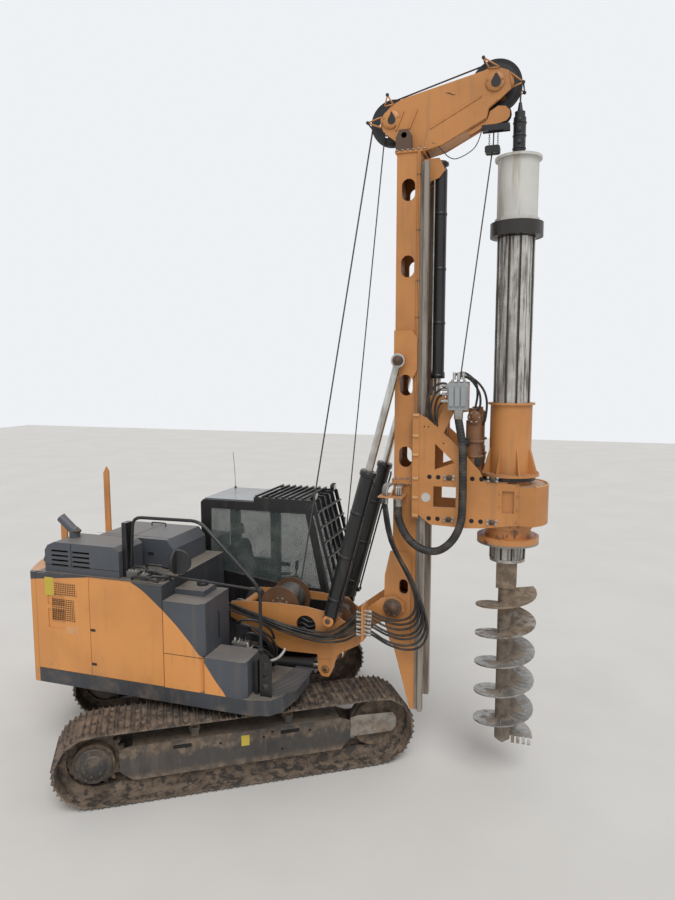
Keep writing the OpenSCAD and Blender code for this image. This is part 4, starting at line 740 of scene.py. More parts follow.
# Hoses. Columns of boomLine: x, y, z and half the strands' spread. The other lines: x, y, z
hoses = {
    "strands": 7, "radius": 13, "sway": 14, "perSpan": 4,
    "boomLine": [(-179.7, -440, 1830, 60), (-90, -440, 1830, 60), (150, -430, 1795, 50), (450, -412, 1715, 40),
                 (800, -398, 1610, 40), (1150, -388, 1540, 40), (1430, -386, 1535, 45), (1640, -405, 1630, 90),
                 (1780, -430, 1760, 130), (1849.7, -430, 1760, 130)],
    "mastOuter": [(1870.3, -430, 1640), (1950, -430, 1640), (2130, -430, 1550), (2330, -430, 1515),
                  (2500, -430, 1580), (2575, -430, 1760), (2540, -430, 1980), (2400, -430, 2310),
                  (2200, -430, 2680), (2110, -430, 3100), (2110, -430, 3199.7)],
    "mastInner": [(1870.3, -385, 1890), (1950, -385, 1890), (2090, -385, 1845), (2230, -385, 1830),
                  (2370, -385, 1880), (2427, -380, 1990), (2405, -375, 2140), (2320, -360, 2350),
                  (2120, -350, 2720), (2050, -350, 3100), (2050, -350, 3199.7)],
    "loop": [(2230, -395, 3199.7), (2230, -395, 3110), (2235, -400, 2990), (2275, -400, 2870),
             (2345, -400, 2760), (2440, -400, 2680), (2560, -400, 2640), (2680, -400, 2655),
             (2790, -400, 2740), (2865, -400, 2860), (2905, -400, 3000), (2915, -400, 3200),
             (2912, -400, 3480), (2900, -390, 3780), (2850, -365, 4060), (2850, -365, 4149.7)],
    "loopRadius": 42,
    "boomBend": ((-100, -440, 1830), (500, -410, 1830)), "mastBend": ((2050, -430, 1600), (2250, -430, 2900)),
    "loopBend": ((2500, -400, 3000), (2900, -400, 3000)),
}


# Each strand keeps its share between two lines and sways by a sine that dies out at its ends
def strandRoutes(low, high, p):
    low, high = smoothRoute(low, p["perSpan"]), smoothRoute(high, p["perSpan"])
    share = np.linspace(0, 1, p["strands"])[:, None, None]
    along = np.linspace(0, 1, len(low))[None, :, None]
    fade = np.clip(4 * along * (1 - along), 0, 1)
    phase = share * 9
    sway = p["sway"] * fade * np.concatenate([0 * phase + 0 * along, np.sin(7 * along + 2.4 * phase),
                                              0.8 * np.cos(5 * along + 1.7 * phase)], -1)
    return low + share * (high - low) + sway


boomLine = np.array(hoses["boomLine"])
spread = boomLine[:, 3:] * up
boomStrands = strandRoutes(boomLine[:, :3] - spread, boomLine[:, :3] + spread, hoses)
mastStrands = strandRoutes(hoses["mastOuter"], hoses["mastInner"], hoses)
for k in range(hoses["strands"]):
    layCord(f"boomHose{k + 1}", boomStrands[k], hoses["radius"], ("upper", "boom"), "hose",
            hides=["boom_hoses"])
    layCord(f"mastHose{k + 1}", mastStrands[k], hoses["radius"], ("boom", "mast"), "hose",
            hides=["mast_hoses"])
layCord("hoseLoop", smoothRoute(hoses["loop"], 6), hoses["loopRadius"], ("mast", "carriage"), "sleeve",
        hides=["hose_loop"], sides=16)
print("hoses laid")

# Crimped ends of the hoses, with a nut, on the plates that they meet
hoseEnd = turnedShape([(0, 19), (16, 19), (17, 14), (22, 14), (24, 17.5), (70, 17.5), (74, 13.4)])
loopCap = [(0, 52), (28, 52), (32, 47), (90, 47), (96, 43)]
bends = {"x": (2050, 2062, 2075, 2088, 2100, 2112), "y": (-350, -366, -384, -402, -418, -432), "radius": 12}


def hoseEnds(places, axis):
    return scatterShape("ends", hoseEnd, mm(places), axis)


addPiece("boomHoseEnds", [hoseEnds(boomStrands[:, -1], -ahead), hoseEnds(mastStrands[:, 0], ahead)], "boom", "zinc")
addPiece("houseHoseEnds", hoseEnds(boomStrands[:, 0], ahead), "upper", "zinc")
addPiece("mastHoseEnds", [hoseEnds(mastStrands[:, -1], -up), turned(loopCap, hoses["loop"][0], -up)], "mast", "zinc")
addPiece("loopTopEnd", turned(loopCap, hoses["loop"][-1], -up), "carriage", "zinc")
# Steel pipes bent over the manifold, from the hoses' ends into the mast
pipeRoutes = [[(x, y, 3216), (x, y, 3262), (x + 6, y + 22, 3300), (x + 14, y + 70, 3318), (x + 22, -225, 3318)]
              for x, y in zip(bends["x"], bends["y"])]
pipeRoutes += [[(2230 + 22 * s, -395 + 8 * s, 3216), (2230 + 22 * s, -395 + 8 * s, 3280), (2236 + 22 * s, -372, 3318),
                (2240 + 22 * s, -225, 3322)] for s in (-1, 0, 1)]
addPiece("manifoldPipes", [pipe(route, bends["radius"]) for route in pipeRoutes], "mast", "zinc")
print("hose ends made")

# Rope on the two drums: a turned skin whose radius bulges once for each turn of rope
drums = {"main": {"body": "main_winch", "at": (760, 0, 1760), "radius": 171, "rope": 9, "reach": 180},
         "aux": {"body": "aux_winch", "at": (1480, 0, 1690), "radius": 71, "rope": 7, "reach": 102}}
for name, d in drums.items():
    turns = int(d["reach"] / d["rope"])
    along = np.linspace(-1, 1, turns * 6 + 1) * turns * d["rope"]
    bulge = d["radius"] + 2 * d["rope"] * np.abs(np.cos(np.pi * along / (2 * d["rope"]))) ** 0.6
    addPiece(f"{name}DrumRope", turned(np.stack([along, bulge], -1), d["at"], left, 40), d["body"], "rope")
    for side in (-1, 1):
        ring = circle(d["at"], 0.62 * d["radius"], np.arange(10) * np.pi / 5) + left * side * (d["reach"] + 19)
        addPiece(f"{name}DrumBolts{side + 2}", bolts(ring, side * left, 10, 9), d["body"], "zinc")
print("drums wound")

# Head of the mast: side plates that leave the sheaves' rims free, closing plates, ribs, keepers and rope guards
head = {
    "outline": [(2120, 6826), (2420, 6826), (2600, 6868), (3040, 7084), (3062, 7180), (3185, 7272), (3280, 7352),
                (3302, 7400), (3290, 7470), (3240, 7528), (3150, 7562), (3060, 7570), (3000, 7549), (2180, 7378),
                (2060, 7325), (1985, 7255), (1950, 7200), (1938, 7145), (1965, 7070), (2035, 7005), (2110, 6950)],
    "doubler": [(2400, 6826), (2430, 7036), (2993, 7318), (3100, 7290), (3150, 7255), (3056, 7182), (3034, 7090),
                (2600, 6874)],
    "rail": [(2470, 7036), (2980, 7292), (2993, 7306), (2988, 7318), (2466, 7056)],
    "floor": [(2440, 6826), (2604, 6876), (3032, 7086), (3024, 7102), (2596, 6892), (2440, 6842)],
    "lid": [(2400, 7398), (2850, 7492), (2847, 7506), (2397, 7412)],
    "ribs": [[(x, 7072), (x + 18, 7064), (x + 98, 7250), (x + 80, 7258)] for x in (2096, 2238)],
    "inner": 110, "outer": 130, "flange": ((2120, -235, 6800), (2420, 235, 6826)),
    "pins": [(2050, 7180, 43, 90), (3117, 7430, 50, 100)],  # x, z, radius of the drop, its top
    "rim": [(0, 90), (6, 94), (14, 94), (18, 90), (18, 30)],
    "keepers": (0.2, 1.5, 2.9, 4.4, 5.4), "keeperRadius": 76,
    "guards": [((2996, 7671), (3054, 7564), (3160, 7560)), ((3391, 7391), (3262, 7498), (3284, 7356)),
               ((2010, 7431), (1984, 7320), (2074, 7330)), ((1797, 7172), (1948, 7216), (1946, 7108))],
    "knob": [(0, 15), (4, 18), (16, 18), (20, 14)],
}
inner, outer = head["inner"], head["outer"]
pinPlaces = [(x, z) for x, z, radius, top in head["pins"]]


# A drop: a round lower part whose sides close to a point above
def dropOutline(x, z, radius, top, count=20):
    a = np.linspace(math.radians(30), math.radians(-210), count)
    return [(x + radius * math.cos(t), z + radius * math.sin(t)) for t in a] + [(x, z + top)]


guardPipes = [([(a[0], outer + 5, a[1]), (b[0], outer + 5, b[1])], 8, 6)
              for tip, one, two in head["guards"] for a, b in ((tip, one), (tip, two), (one, two))]
tips = [guard[0] for guard in head["guards"]]
addFittings({
    "headPlates": ("mast", "rigOrange", dict(
        hides=["mast_head"], mirrored=True,
        plates=[(head["outline"], inner, outer, 2.5), (head["doubler"], outer - 1, outer + 8, 2),
                (head["rail"], outer, outer + 16, 3)] + [(rib, outer - 1, outer + 15, 2) for rib in head["ribs"]],
        once=dict(plates=[(head["floor"], -inner, inner, 1), (head["lid"], -inner, inner, 1)], boxes=[head["flange"]],
                  caps=[([(0, 38), (2 * inner, 38)], (x, -inner, z), left, 28) for x, z in pinPlaces]))),
    "sheavePinDrops": ("mast", "greasedIron", dict(mirrored=True, plates=[
        (dropOutline(x + 10, z - 10, radius, top), outer + 17, outer + 20, 1) for x, z, radius, top in head["pins"]])),
    "sheavePinRims": ("mast", "rigOrange", dict(hides=["mast_head"], mirrored=True, caps=[
        (head["rim"], (x, outer - 1, z), left, 40) for x, z in pinPlaces])),
    "keeperBolts": ("mast", "rigOrange", dict(mirrored=True, studs=[(np.vstack([
        circle((x, outer + 17, z), head["keeperRadius"], head["keepers"]) for x, z in pinPlaces]), left, 9, 8)])),
    "ropeGuards": ("mast", "mastOrange", dict(mirrored=True, pipes=guardPipes)),
    "ropeGuardBars": ("mast", "blackPaint", dict(
        mirrored=True, caps=[(head["knob"], (x, outer - 4, z), left, 14) for x, z in tips],
        once=dict(pipes=[([(x, -130, z), (x, 130, z)], 8, 10, up) for x, z in tips]))),
})

# Limit switch, and its weight on chains
limit = {"box": [(2994, 3270), (-120, -24), (6972, 7030)], "weight": [(3028, 3178), (-128, -22), (6752, 6826)],
         "chains": [(3070, -100), (3150, -44)], "heights": (6836, 6962), "link": 13, "wire": 3.4, "links": 7}
(x0, x1), (y0, y1), (z0, z1) = limit["box"]
boxWalls = [((x0, y0, z0), (x1, y0 + 14, z1)), ((x0, y1 - 14, z0), (x1, y1, z1)),
            ((x0, y0 + 14, z0 + 8), (x0 + 60, y1 - 14, z1 - 4)), ((x1 - 60, y0 + 14, z0 + 8), (x1, y1 - 14, z1 - 4))]
(x0, x1), (y0, y1), (z0, z1) = limit["weight"]
cheek = [(x0, z0 + 12), (x0 + 18, z0), (x1 - 18, z0), (x1, z0 + 12), (x1, z1 - 12), (x1 - 18, z1), (x0 + 18, z1),
         (x0, z1 - 12)]
addFittings({
    "limitBox": ("mast", "blackPaint", dict(boxes=boxWalls)),
    "limitWeight": ("mast", "blackPaint", dict(
        plates=[(cheek, y0, y0 + 38, 3), (cheek, y1 - 38, y1, 3)],
        boxes=[((x0 + 6, y0 + 38, z0 + 8), (x0 + 62, y1 - 38, z1 - 8)),
               ((x1 - 56, y0 + 38, z0 + 8), (x1 - 6, y1 - 38, z1 - 8))])),
})


# A chain link is a ring stretched along Z, and every second link is turned a quarter
def linkShape(radius, wire, sides=10, wireSides=5):
    a = np.arange(sides) * 2 * np.pi / sides
    b = np.arange(wireSides) * 2 * np.pi / wireSides
    ring = radius + wire * np.cos(b)[None, :]
    points = np.stack([0.62 * ring * np.cos(a)[:, None], wire * np.sin(b)[None, :] + 0 * a[:, None],
                       ring * np.sin(a)[:, None]], -1).reshape(-1, 3)
    i, j = np.meshgrid(np.arange(sides), np.arange(wireSides), indexing="ij")
    n, m = (i + 1) % sides, (j + 1) % wireSides
    faces = np.stack([i * wireSides + j, n * wireSides + j, n * wireSides + m, i * wireSides + m], -1)
    return points, faces.reshape(-1, 4).tolist()


places = [(x, y, z) for x, y in limit["chains"] for z in np.linspace(*limit["heights"], limit["links"])]
spins = np.tile(np.arange(limit["links"]) % 2 * np.pi / 2, len(limit["chains"]))
link = linkShape(limit["link"] / 1000, limit["wire"] / 1000)
addPiece("chains", sharpened(scatterShape("chains", link, mm(places), up, spins), 0), "mast", "blackPaint")

# Flange and folding bracket of the head, and the swivel
foldEar = [(2124, 6826), (2296, 6826), (2286, 6990), (2250, 7040), (2160, 7040), (2124, 6960)]
swivelPin, swivelBand = [(0, 18), (6, 22), (14, 22), (17, 18)], [(0, 66), (4, 69), (14, 69), (18, 66)]
addFittings({
    "headFlangeBolts": ("mast", "zinc", dict(slot="rig_orange", mirrored=True, studs=[
        ([(x, 228, 6825) for x in range(2140, 2440, 58)], up, 15, 13)])),
    "headFoldBracket": ("mast", "rust", dict(
        mirrored=True, plates=[(foldEar, 160, 176, 3), (foldEar, 210, 226, 3)],
        boxes=[((2130, 130, 6826), (2150, 210, 6990))], pipes=[([(2212, 131, 6980), (2212, 226, 6980)], 30, 18, up)])),
    "headScratch": ("mast", "darkMarksAndPaintedHoleShade", dict(plates=[
        ([(2606, 7380), (2650, 7372), (2700, 7348), (2726, 7352), (2700, 7356), (2655, 7380)], -131, -130.4, 0)])),
    "swivelBolts": ("swivel", "zinc", dict(studs=[
        (circle((drillAhead, 0, 6710), 74, np.arange(8) * np.pi / 4, left), up, 9, 10)])),
    "swivelPins": ("swivel", "blackPaint", dict(
        mirrored=True, caps=[(swivelPin, (drillAhead, 56, z), left, 14) for z in (6850, 6970, 7065)],
        once=dict(caps=[(swivelBand, (drillAhead, 0, z), up, 24) for z in (6790, 6915, 7040)]))),
})
print("head dressed")

# Mast and boom: bolted flange, pivot caps, collars, pipes and strips
mast = {
    "flangeX": range(2150, 2400, 45), "pivot": (2160, 1940), "crowdX": 2565,
    "pivotCap": [(0, 100), (8, 104), (20, 104), (24, 98), (24, 62), (32, 60), (40, 56), (40, 24), (46, 22)],
    "crowdCap": [(0, 72), (4, 84), (30, 84), (34, 76), (34, 66), (44, 64), (46, 30)],
    "crowdPipe": [(2520, -62, 4520), (2515, -80, 4560), (2515, -84, 4700), (2515, -84, 6500), (2520, -78, 6600),
                  (2530, -62, 6640)],
    "sidePipes": [[(x, -226, 3390), (x, -230, 3420), (x, -230, 3480), (x, -230, 6600), (x, -228, 6700)]
                  for x in (2368, 2384)],
    "clamps": (3500, 4000, 5100, 5480, 6000, 6560),
    "insidePipes": [[(1010, 250, z), (1080, 268, z + 24), (1160, 268, z - 10), (1240, 250, z + 20)]
                    for z in (1540, 1590, 1650)],
}
pivotX, pivotZ = mast["pivot"]
crowdBands = [([(0, 73), (3, 80), (37, 80), (40, 73)], 4478, 28)]
crowdBands += [([(0, 72), (2, 75), (30, 75), (32, 72)], z, 24) for z in (5050, 5620, 6190)]
addFittings({
    "mastFlangeBolts": ("mast", "zinc", dict(slot="rig_orange", mirrored=True, studs=[
        ([(x, 231, 3376) for x in mast["flangeX"]], up, 14, 14)])),
    "mastFlangeNuts": ("mast", "zinc", dict(slot="rig_orange", mirrored=True, studs=[
        ([(x, 231, 3324) for x in mast["flangeX"]], -up, 14, 12)])),
    "pivotCaps": ("boom", "rust", dict(mirrored=True, caps=[(mast["pivotCap"], (pivotX, 306, pivotZ), left, 36)])),
    "pivotCapBolts": ("boom", "rust", dict(mirrored=True, studs=[
        (circle((pivotX, 329, pivotZ), 82, np.arange(8) * np.pi / 4 + 0.3), left, 9, 9)])),
    "crowdCollars": ("mast", "blackPaint", dict(caps=[(mast["crowdCap"], (mast["crowdX"], 0, 6700), up, 28)] + [
        (profile, (mast["crowdX"], 0, z), up, sides) for profile, z, sides in crowdBands])),
    "crowdPipe": ("mast", "zinc", dict(pipes=[(mast["crowdPipe"], 9, 8, ahead)])),
    "mastSidePipes": ("mast", "rigOrange", dict(pipes=[(route, 8, 6, ahead) for route in mast["sidePipes"]])),
    "mastPipeClamps": ("mast", "blackPaint", dict(boxes=[
        ((2358, -236, z), (2394, -219, z + 26), 2) for z in mast["clamps"]])),
    "mastBackStrips": ("mast", "rigOrange", dict(mirrored=True, boxes=[((2132, 196, 1500), (2141, 210, 3300), 2)])),
    "ramEyeCaps": ("mast", "rust", dict(mirrored=True, caps=[
        ([(0, 52), (8, 54), (12, 50), (12, 30), (24, 27)], (2210, 418, 4660), left, 28)])),
    "ramBaseCaps": ("boom", "rigOrange", dict(mirrored=True, caps=[
        ([(0, 62), (4, 66), (14, 66), (18, 60), (18, 34)], (1440, 423, 1740), left, 28)])),
    "ramBasePins": ("boom", "rust", dict(mirrored=True, caps=[
        ([(0, 33), (20, 33), (24, 29), (24, 10)], (1440, 423, 1740), left, 20),
        ([(0, 44), (6, 46), (8, 40), (8, 30), (16, 26)], (1360, 285, 1100), left, 24)])),
    "boomInside": ("boom", "blackPaint", dict(
        mirrored=True, boxes=[((980, 236, 1470), (1262, 252, 1735), 4)],
        pipes=[(route, 13, 8) for route in mast["insidePipes"]])),
    "boomFootRibs": ("boom", "rigOrange", dict(mirrored=True, boxes=[((1276, 284, 1226), (1424, 292, 1240), 2)])),
})

# Mast cylinders: ribbed glands, clamp bands, a port block and a pipe along each barrel
ram = {
    "base": np.array([1440, 1740.0]), "eye": np.array([2210, 4660.0]), "gauge": 375,
    "band": [(0, 80), (3, 85), (37, 85), (40, 80)], "bands": (240, 760, 1280),
    "gland": [(0, 88), (6, 94), (18, 94), (22, 90), (26, 94), (50, 94), (56, 84), (62, 60), (66, 48)], "glandAt": 1728,
    "port": np.array([26, 26, 22]), "portAt": (160, 84),
    "pipe": ((160, 100), (190, 112), (260, 98), (1500, 98), (1640, 100), (1700, 92)), "pipeOut": 22,
}
ramAlong = (ram["eye"] - ram["base"]) / np.linalg.norm(ram["eye"] - ram["base"])
ramAcross = np.array([ramAlong[1], -ramAlong[0]])
ramAxis = (ramAlong[0], 0, ramAlong[1])


def onRam(distance, offset, y=ram["gauge"]):
    x, z = ram["base"] + distance * ramAlong + offset * ramAcross
    return np.array([x, y, z])


port = onRam(*ram["portAt"])
addFittings({
    "ramBands": ("mast_barrels", "blackPaint", dict(
        mirrored=True, caps=[(ram["band"], onRam(d, 0), ramAxis, 28) for d in ram["bands"]]
        + [(ram["gland"], onRam(ram["glandAt"], 0), ramAxis, 28)], boxes=[(port - ram["port"], port + ram["port"])])),
    "ramPipes": ("mast_barrels", "blackPaint", dict(mirrored=True, pipes=[
        ([onRam(d, offset, ram["gauge"] + ram["pipeOut"]) for d, offset in ram["pipe"]], 10, 8)])),
})
print("mast dressed")

# Carriage: slide strips with their tabs in painted highlight, bolt holes in painted shade, pin blocks, blank disc and
# plate bolts
carriage = {
    "face": 300, "strip": (2358, 2966, 2432, 4104), "tabs": (4086, 3865, 3662, 3406, 3197, 3000),
    "holes": [(x, z) for z in (3425, 2973) for x in (2546, 2640, 3000, 3095)],
    "blocks": [(2757, 3425), (3210, 3425), (2757, 2973), (3210, 2973)],
    "block": [(-60, -18), (-52, -26), (52, -26), (60, -18), (60, -4), (-60, -4)],
    "blockPin": [(0, 30), (8, 30), (12, 26), (12, 14), (22, 12)],
    "dots": [(2482, 3965), (2528, 3962), (2470, 3200), (2690, 3790)],
    "disc": (2510, 3200, 50),
    "windowBolts": [(3284, 3280), (3468, 3260), (3282, 3140), (3466, 3120), (3460, 2985), (3462, 3380)],
}
face, blocks = carriage["face"], carriage["blocks"]
x0, z0, x1, z1 = carriage["strip"]
addFittings({
    "slideStrips": ("carriage", "rigOrange", dict(mirrored=True, plates=[
        (rectangle(x0, z0, x1, z1), face + 1, face + 7, 1.5)])),
    # Slide tabs in painted highlight: rig orange lightened
    "slideTabs": ("carriage", "paintedHighlightOrange", dict(mirrored=True, plates=[
        (rectangle(x0 + 6, z - 15, x1 - 4, z + 15), face + 3, face + 22, 2) for z in carriage["tabs"]])),
    # Painted shade in the bolt holes and small holes: dark discs on the face
    "boltHoles": ("carriage", "darkMarksAndPaintedHoleShade", dict(mirrored=True, caps=[
        ([(0, 25), (1.2, 24), (1.2, 17)], (x, face, z), left, 20) for x, z in carriage["holes"]])),
    "smallHoles": ("carriage", "darkMarksAndPaintedHoleShade", dict(mirrored=True, caps=[
        ([(0, 8), (1, 7)], (x, face, z), left, 12) for x, z in carriage["dots"]])),
    "clampBlocks": ("carriage", "rust", dict(
        mirrored=True, caps=[(carriage["blockPin"], (x, face, z), left, 20) for x, z in blocks],
        plates=[([(x + dx, z + dz) for dx, dz in carriage["block"]], face, face + 10, 2) for x, z in blocks])),
    "clampBolts": ("carriage", "zinc", dict(mirrored=True, studs=[
        ([(x + dx, face + 10, z - 15) for x, z in blocks for dx in (-44, 44)]
         + [(x + dx, face + 1, z + 20) for x, z in blocks for dx in (-48, 48)], left, 11, 12)])),
})
x, z, r = carriage["disc"]
addPiece("blankDisc", turned([(0, r), (2, r), (3, r - 1), (3, r - 6), (2, r - 7)], (x, -face, z), -left), "carriage",
         "blankPlate")
addFittings({
    "windowBolts": ("carriage", "rigOrange", dict(mirrored=True, studs=[
        ([(x, face + 1, z) for x, z in carriage["windowBolts"]], left, 9, 8)])),
    "neckBolts": ("carriage", "rigOrange", dict(studs=[
        (circle((drillAhead, 0, 3473), 287, (np.arange(16) + 0.5) * np.pi / 8, left), up, 12, 12)])),
    "casingBolts": ("carriage", "rigOrange", dict(studs=[
        (circle((drillAhead, 0, 3360), 384, np.radians(np.arange(-44, 45, 11)), left), up, 12, 11)])),
})
# Painted highlight along the front of the casing's rim, as a thin pale orange arc
rimRoute = circle((drillAhead, 0, 3362), 400, np.radians(np.linspace(-45, 45, 24)), left)
addPiece("casingRim", gridMesh("rim", tubeGrid(mm(rimRoute), 0.009, 8, up)), "carriage", "paintedHighlightOrange")
print("carriage dressed")

# House: mesh vents, latches, blank plates, anti-slip pads, tank, tail
house = {
    "side": -1250,
    "vents": [(-1590, 2004, -1290, 2156), (-1632, 1704, -1324, 1962)], "mesh": 24, "hole": 15,
    "blanks": {"blankPlate1": ("blankYellow", (-1720, 1992, -1600, 2204)),
               "blankPlate2": ("blankPale", (-1440, 1560, -1292, 1648))},
    "latches": [(-1085, 1640), (-1085, 1240)],
    "lids": [((-160, 176), (-986, -714), 2140), ((330, 786), (-1236, -876), 1500), ((925, 1225), (-1085, -560), 1100)],
    "studGap": 34, "stud": [(0, 0.0085), (0.0025, 0.007), (0.0035, 0.004)],
    "cap": [(0, 62), (10, 66), (34, 66), (40, 60), (42, 20)],
    "eye": [(-70, 2248), (-60, 2290), (-30, 2318), (30, 2318), (60, 2290), (70, 2248)],
}
side, half, mesh = house["side"], house["hole"] / 2, house["mesh"]
holes, frames = [], []
for x0, z0, x1, z1 in house["vents"]:
    holes += [[(px, side - 0.8, pz) for px, pz in rectangle(x - half, z - half, x + half, z + half)]
              for x in np.arange(x0 + mesh / 2, x1, mesh) for z in np.arange(z0 + mesh / 2, z1, mesh)]
    corners = rectangle(x0, z0, x1, z1)
    frames += [([(a[0], side, a[1]), (b[0], side, b[1])], 4, 6) for a, b in zip(corners, corners[1:] + corners[:1])]
squares = np.arange(4 * len(holes)).reshape(-1, 4).tolist()
# Painted shade in the vents' mesh holes: dark squares just off the door
addPiece("ventHoles", newMesh("ventHoles", mm(holes), squares), "rear_door", "darkMarksAndPaintedHoleShade")
addFittings({
    "ventFrames": ("rear_door", "houseOrange", dict(pipes=frames)),
    **{name: ("rear_door", finish, dict(plates=[(rectangle(*spot), side - 2, side, 0.6)]))
       for name, (finish, spot) in house["blanks"].items()},
    "doorLatches": ("front_door", "blackPlastic", dict(plates=[
        (roundedOutline(x - 34, z - 15, x + 34, z + 15, 12), side - 5, side, 2) for x, z in house["latches"]])),
})
gap = house["studGap"]
studs = [(x, y, top) for (x0, x1), (y0, y1), top in house["lids"] for i, y in enumerate(np.arange(y0, y1, gap))
         for x in np.arange(x0 + i % 2 * gap / 2, x1, gap)]
addPiece("antiSlipStuds", scatterShape("antiSlipStuds", turnedShape(house["stud"], 6), mm(studs), up), "upper",
         "blackPaint")


# On the round tail, at an angle from its middle
def onTail(radius, angle, z):
    return -radius * math.cos(angle), radius * math.sin(angle), z


addFittings({
    "antiSlipPads": ("upper", "stoneGrey", dict(boxes=[
        ((x0 - 8, y0 - 8, top), (x1 + 8, y1 + 8, top + 1), 0) for (x0, x1), (y0, y1), top in house["lids"][:2]])),
    "tankCap": ("upper", "blackPlastic", dict(
        caps=[(house["cap"], (60, -780, 2140), up, 28)], boxes=[((48, -842, 2172), (72, -718, 2190), 4)])),
    "tankSeam": ("upper", "darkMarksAndPaintedHoleShade", dict(boxes=[
        ((-176, -1252, 1487), (312, -1248, 1493), 1), ((308, -1250, 1487), (312, -862, 1493), 1)])),
    "sightGlass": ("upper", "blackPlastic", dict(plates=[(roundedOutline(300, 1600, 318, 1900, 8), -905, -880, 2)])),
    "counterweightSeams": ("upper", "darkMarksAndPaintedHoleShade", dict(boxes=[((-2292, -3, 980), (-2288, 3, 2200), 1)], caps=[
        ([(0, 34), (2, 34), (3, 30)], onTail(2286, t, 1060), onTail(1, t, 0), 24) for t in (-0.33, 0.33)])),
    "counterweightEyes": ("upper", "blackPaint", dict(pipes=[
        ([(-2070, y + dy, z) for dy, z in house["eye"]], 16, 10, ahead) for y in (-760, 760)])),
    "tailLamps": ("upper", "lampRed", dict(caps=[
        ([(0, 50), (6, 54), (12, 54), (16, 46)], onTail(2288, t, 1215), onTail(1, t, 0), 28) for t in (-0.26, 0.26)])),
})

# Top of the house: valves and pipes before the air box, exhaust clamp, hood, mirror, nose treads
tops = {
    "blocks": [((-700, -1140, 2250), (-560, -1030, 2330), 6), ((-520, -1150, 2250), (-430, -1060, 2310), 6),
               ((-660, -980, 2250), (-480, -860, 2300), 6), ((-330, -1120, 2250), (-230, -1020, 2300), 6)],
    "caps": [(x, y, 2330) for x in (-670, -630, -590) for y in (-1110, -1060)]
    + [(-495, -1105, 2310), (-455, -1105, 2310), (-620, -920, 2300), (-560, -900, 2300), (-520, -940, 2300)],
    "pipes": [[(-640, -1085, 2320), (-640, -1085, 2360), (-600, -1080, 2376), (-480, -1090, 2366), (-470, -1100, 2310)],
              [(-590, -920, 2296), (-560, -920, 2350), (-420, -900, 2350), (-380, -860, 2320), (-370, -780, 2290),
               (-370, -700, 2300)],
              [(-470, -1104, 2300), (-440, -1104, 2340), (-340, -1090, 2340), (-290, -1080, 2300)],
              [(-600, -1180, 2256), (-560, -1190, 2296), (-380, -1190, 2290), (-260, -1180, 2256)],
              [(-180, -1060, 2256), (-190, -1090, 2290), (-300, -1160, 2310), (-420, -1170, 2290), (-430, -1120, 2290)]],
    "handle": [(-1080, 2580), (-1080, 2612), (-1060, 2622), (-900, 2622), (-880, 2612), (-880, 2580)],
    "mirror": (-98, -1035, 2465), "mirrorRings": ((126, 30), (106, 44), (82, 56)),
    "mirrorShell": [(0, 128), (4, 137), (18, 139), (26, 132), (44, 110), (62, 70), (68, 20)],
}
# Each tread runs between the nose's two slanting edges
treads = [((max(860, 1100 + (y + 1100) * 0.2 - 240), y, 1100), (min(1236, 1060 + (y + 1100) * 0.9), y + 9, 1108), 1)
          for y in range(-1080, -300, 30)]
addFittings({
    "topValves": ("upper", "engineIron", dict(boxes=tops["blocks"])),
    "topValveCaps": ("upper", "zinc", dict(studs=[(tops["caps"], up, 15, 18)])),
    "topPipes": ("upper", "blackPaint", dict(pipes=[(route, 13, 8) for route in tops["pipes"]])),
    "exhaustClamp": ("upper", "rust", dict(slot="engine_iron", caps=[
        ([(0, 52), (3, 58), (27, 58), (30, 52)], (-1538, -900, 2660), up, 24)])),
    "hoodSeams": ("hood", "darkMarksAndPaintedHoleShade", dict(boxes=[
        ((-1500, -560, 2580), (-460, -554, 2581.5), 0), ((-985, -600, 2580), (-979, 90, 2581.5), 0)])),
    "hoodLatches": ("hood", "blackPlastic", dict(
        boxes=[((x - 40, -652, 2392), (x + 40, -640, 2428), 4) for x in (-1300, -700)],
        pipes=[([(x, -20, z) for x, z in tops["handle"]], 8, 8)])),
    "airBoxSeam": ("upper", "darkMarksAndPaintedHoleShade", dict(boxes=[
        ((-1762, -1182, 2330), (-758, -1179, 2334), 0), ((-1400, -1182, 2336), (-1394, -1179, 2590), 0)])),
    "mirrorShell": ("upper", "blackPlastic", dict(caps=[(tops["mirrorShell"], tops["mirror"], -ahead, 36)] + [
        ([(0, r), (5, r + 3), (10, r)], tops["mirror"] - d * ahead, -ahead, 32) for r, d in tops["mirrorRings"]])),
    "noseTreads": ("upper", "hoodGrey", dict(slot="house_grey", boxes=treads)),
    "postKnuckles": ("upper", "blackPaint", dict(caps=[
        ([(0, 26), (4, 31), (40, 31), (44, 26)], (890, -1050, z), up, 16) for z in (1120, 1560, 2216)])),
})
print("house dressed")

# Cab: the seat's three pads, and the frame that leans with them. Columns: corners, channels, leaning
cab = {
    "pads": {"seatCushion": ((-90, 535, 1508), (410, 1015, 1636), 3, False),
             "seatBack": ((-120, 545, 0), (-10, 1005, 640), 4, True),
             "seatHeadRest": ((-105, 640, 700), (-25, 910, 850), 0, True)},
    "lean": 12, "hinge": (-30, 1660),
    "base": [(-70, 1150), (330, 1150), (300, 1230), (300, 1420), (360, 1470), (360, 1506), (-80, 1506), (-80, 1470),
             (-40, 1420), (-40, 1230)],
    "console": [(70, 1150), (520, 1150), (535, 1200), (535, 1640), (500, 1700), (440, 1720), (80, 1650), (62, 1600),
                (62, 1200)],
    "armrest": [(40, 1690), (380, 1735), (380, 1765), (40, 1730)], "consoleMiddles": (445, 1105),
    "grip": [(0, 16), (14, 24), (50, 27), (90, 24), (112, 27), (130, 20), (136, 8)],
    "boot": [(0, 44), (20, 38), (32, 24), (40, 14)],
}


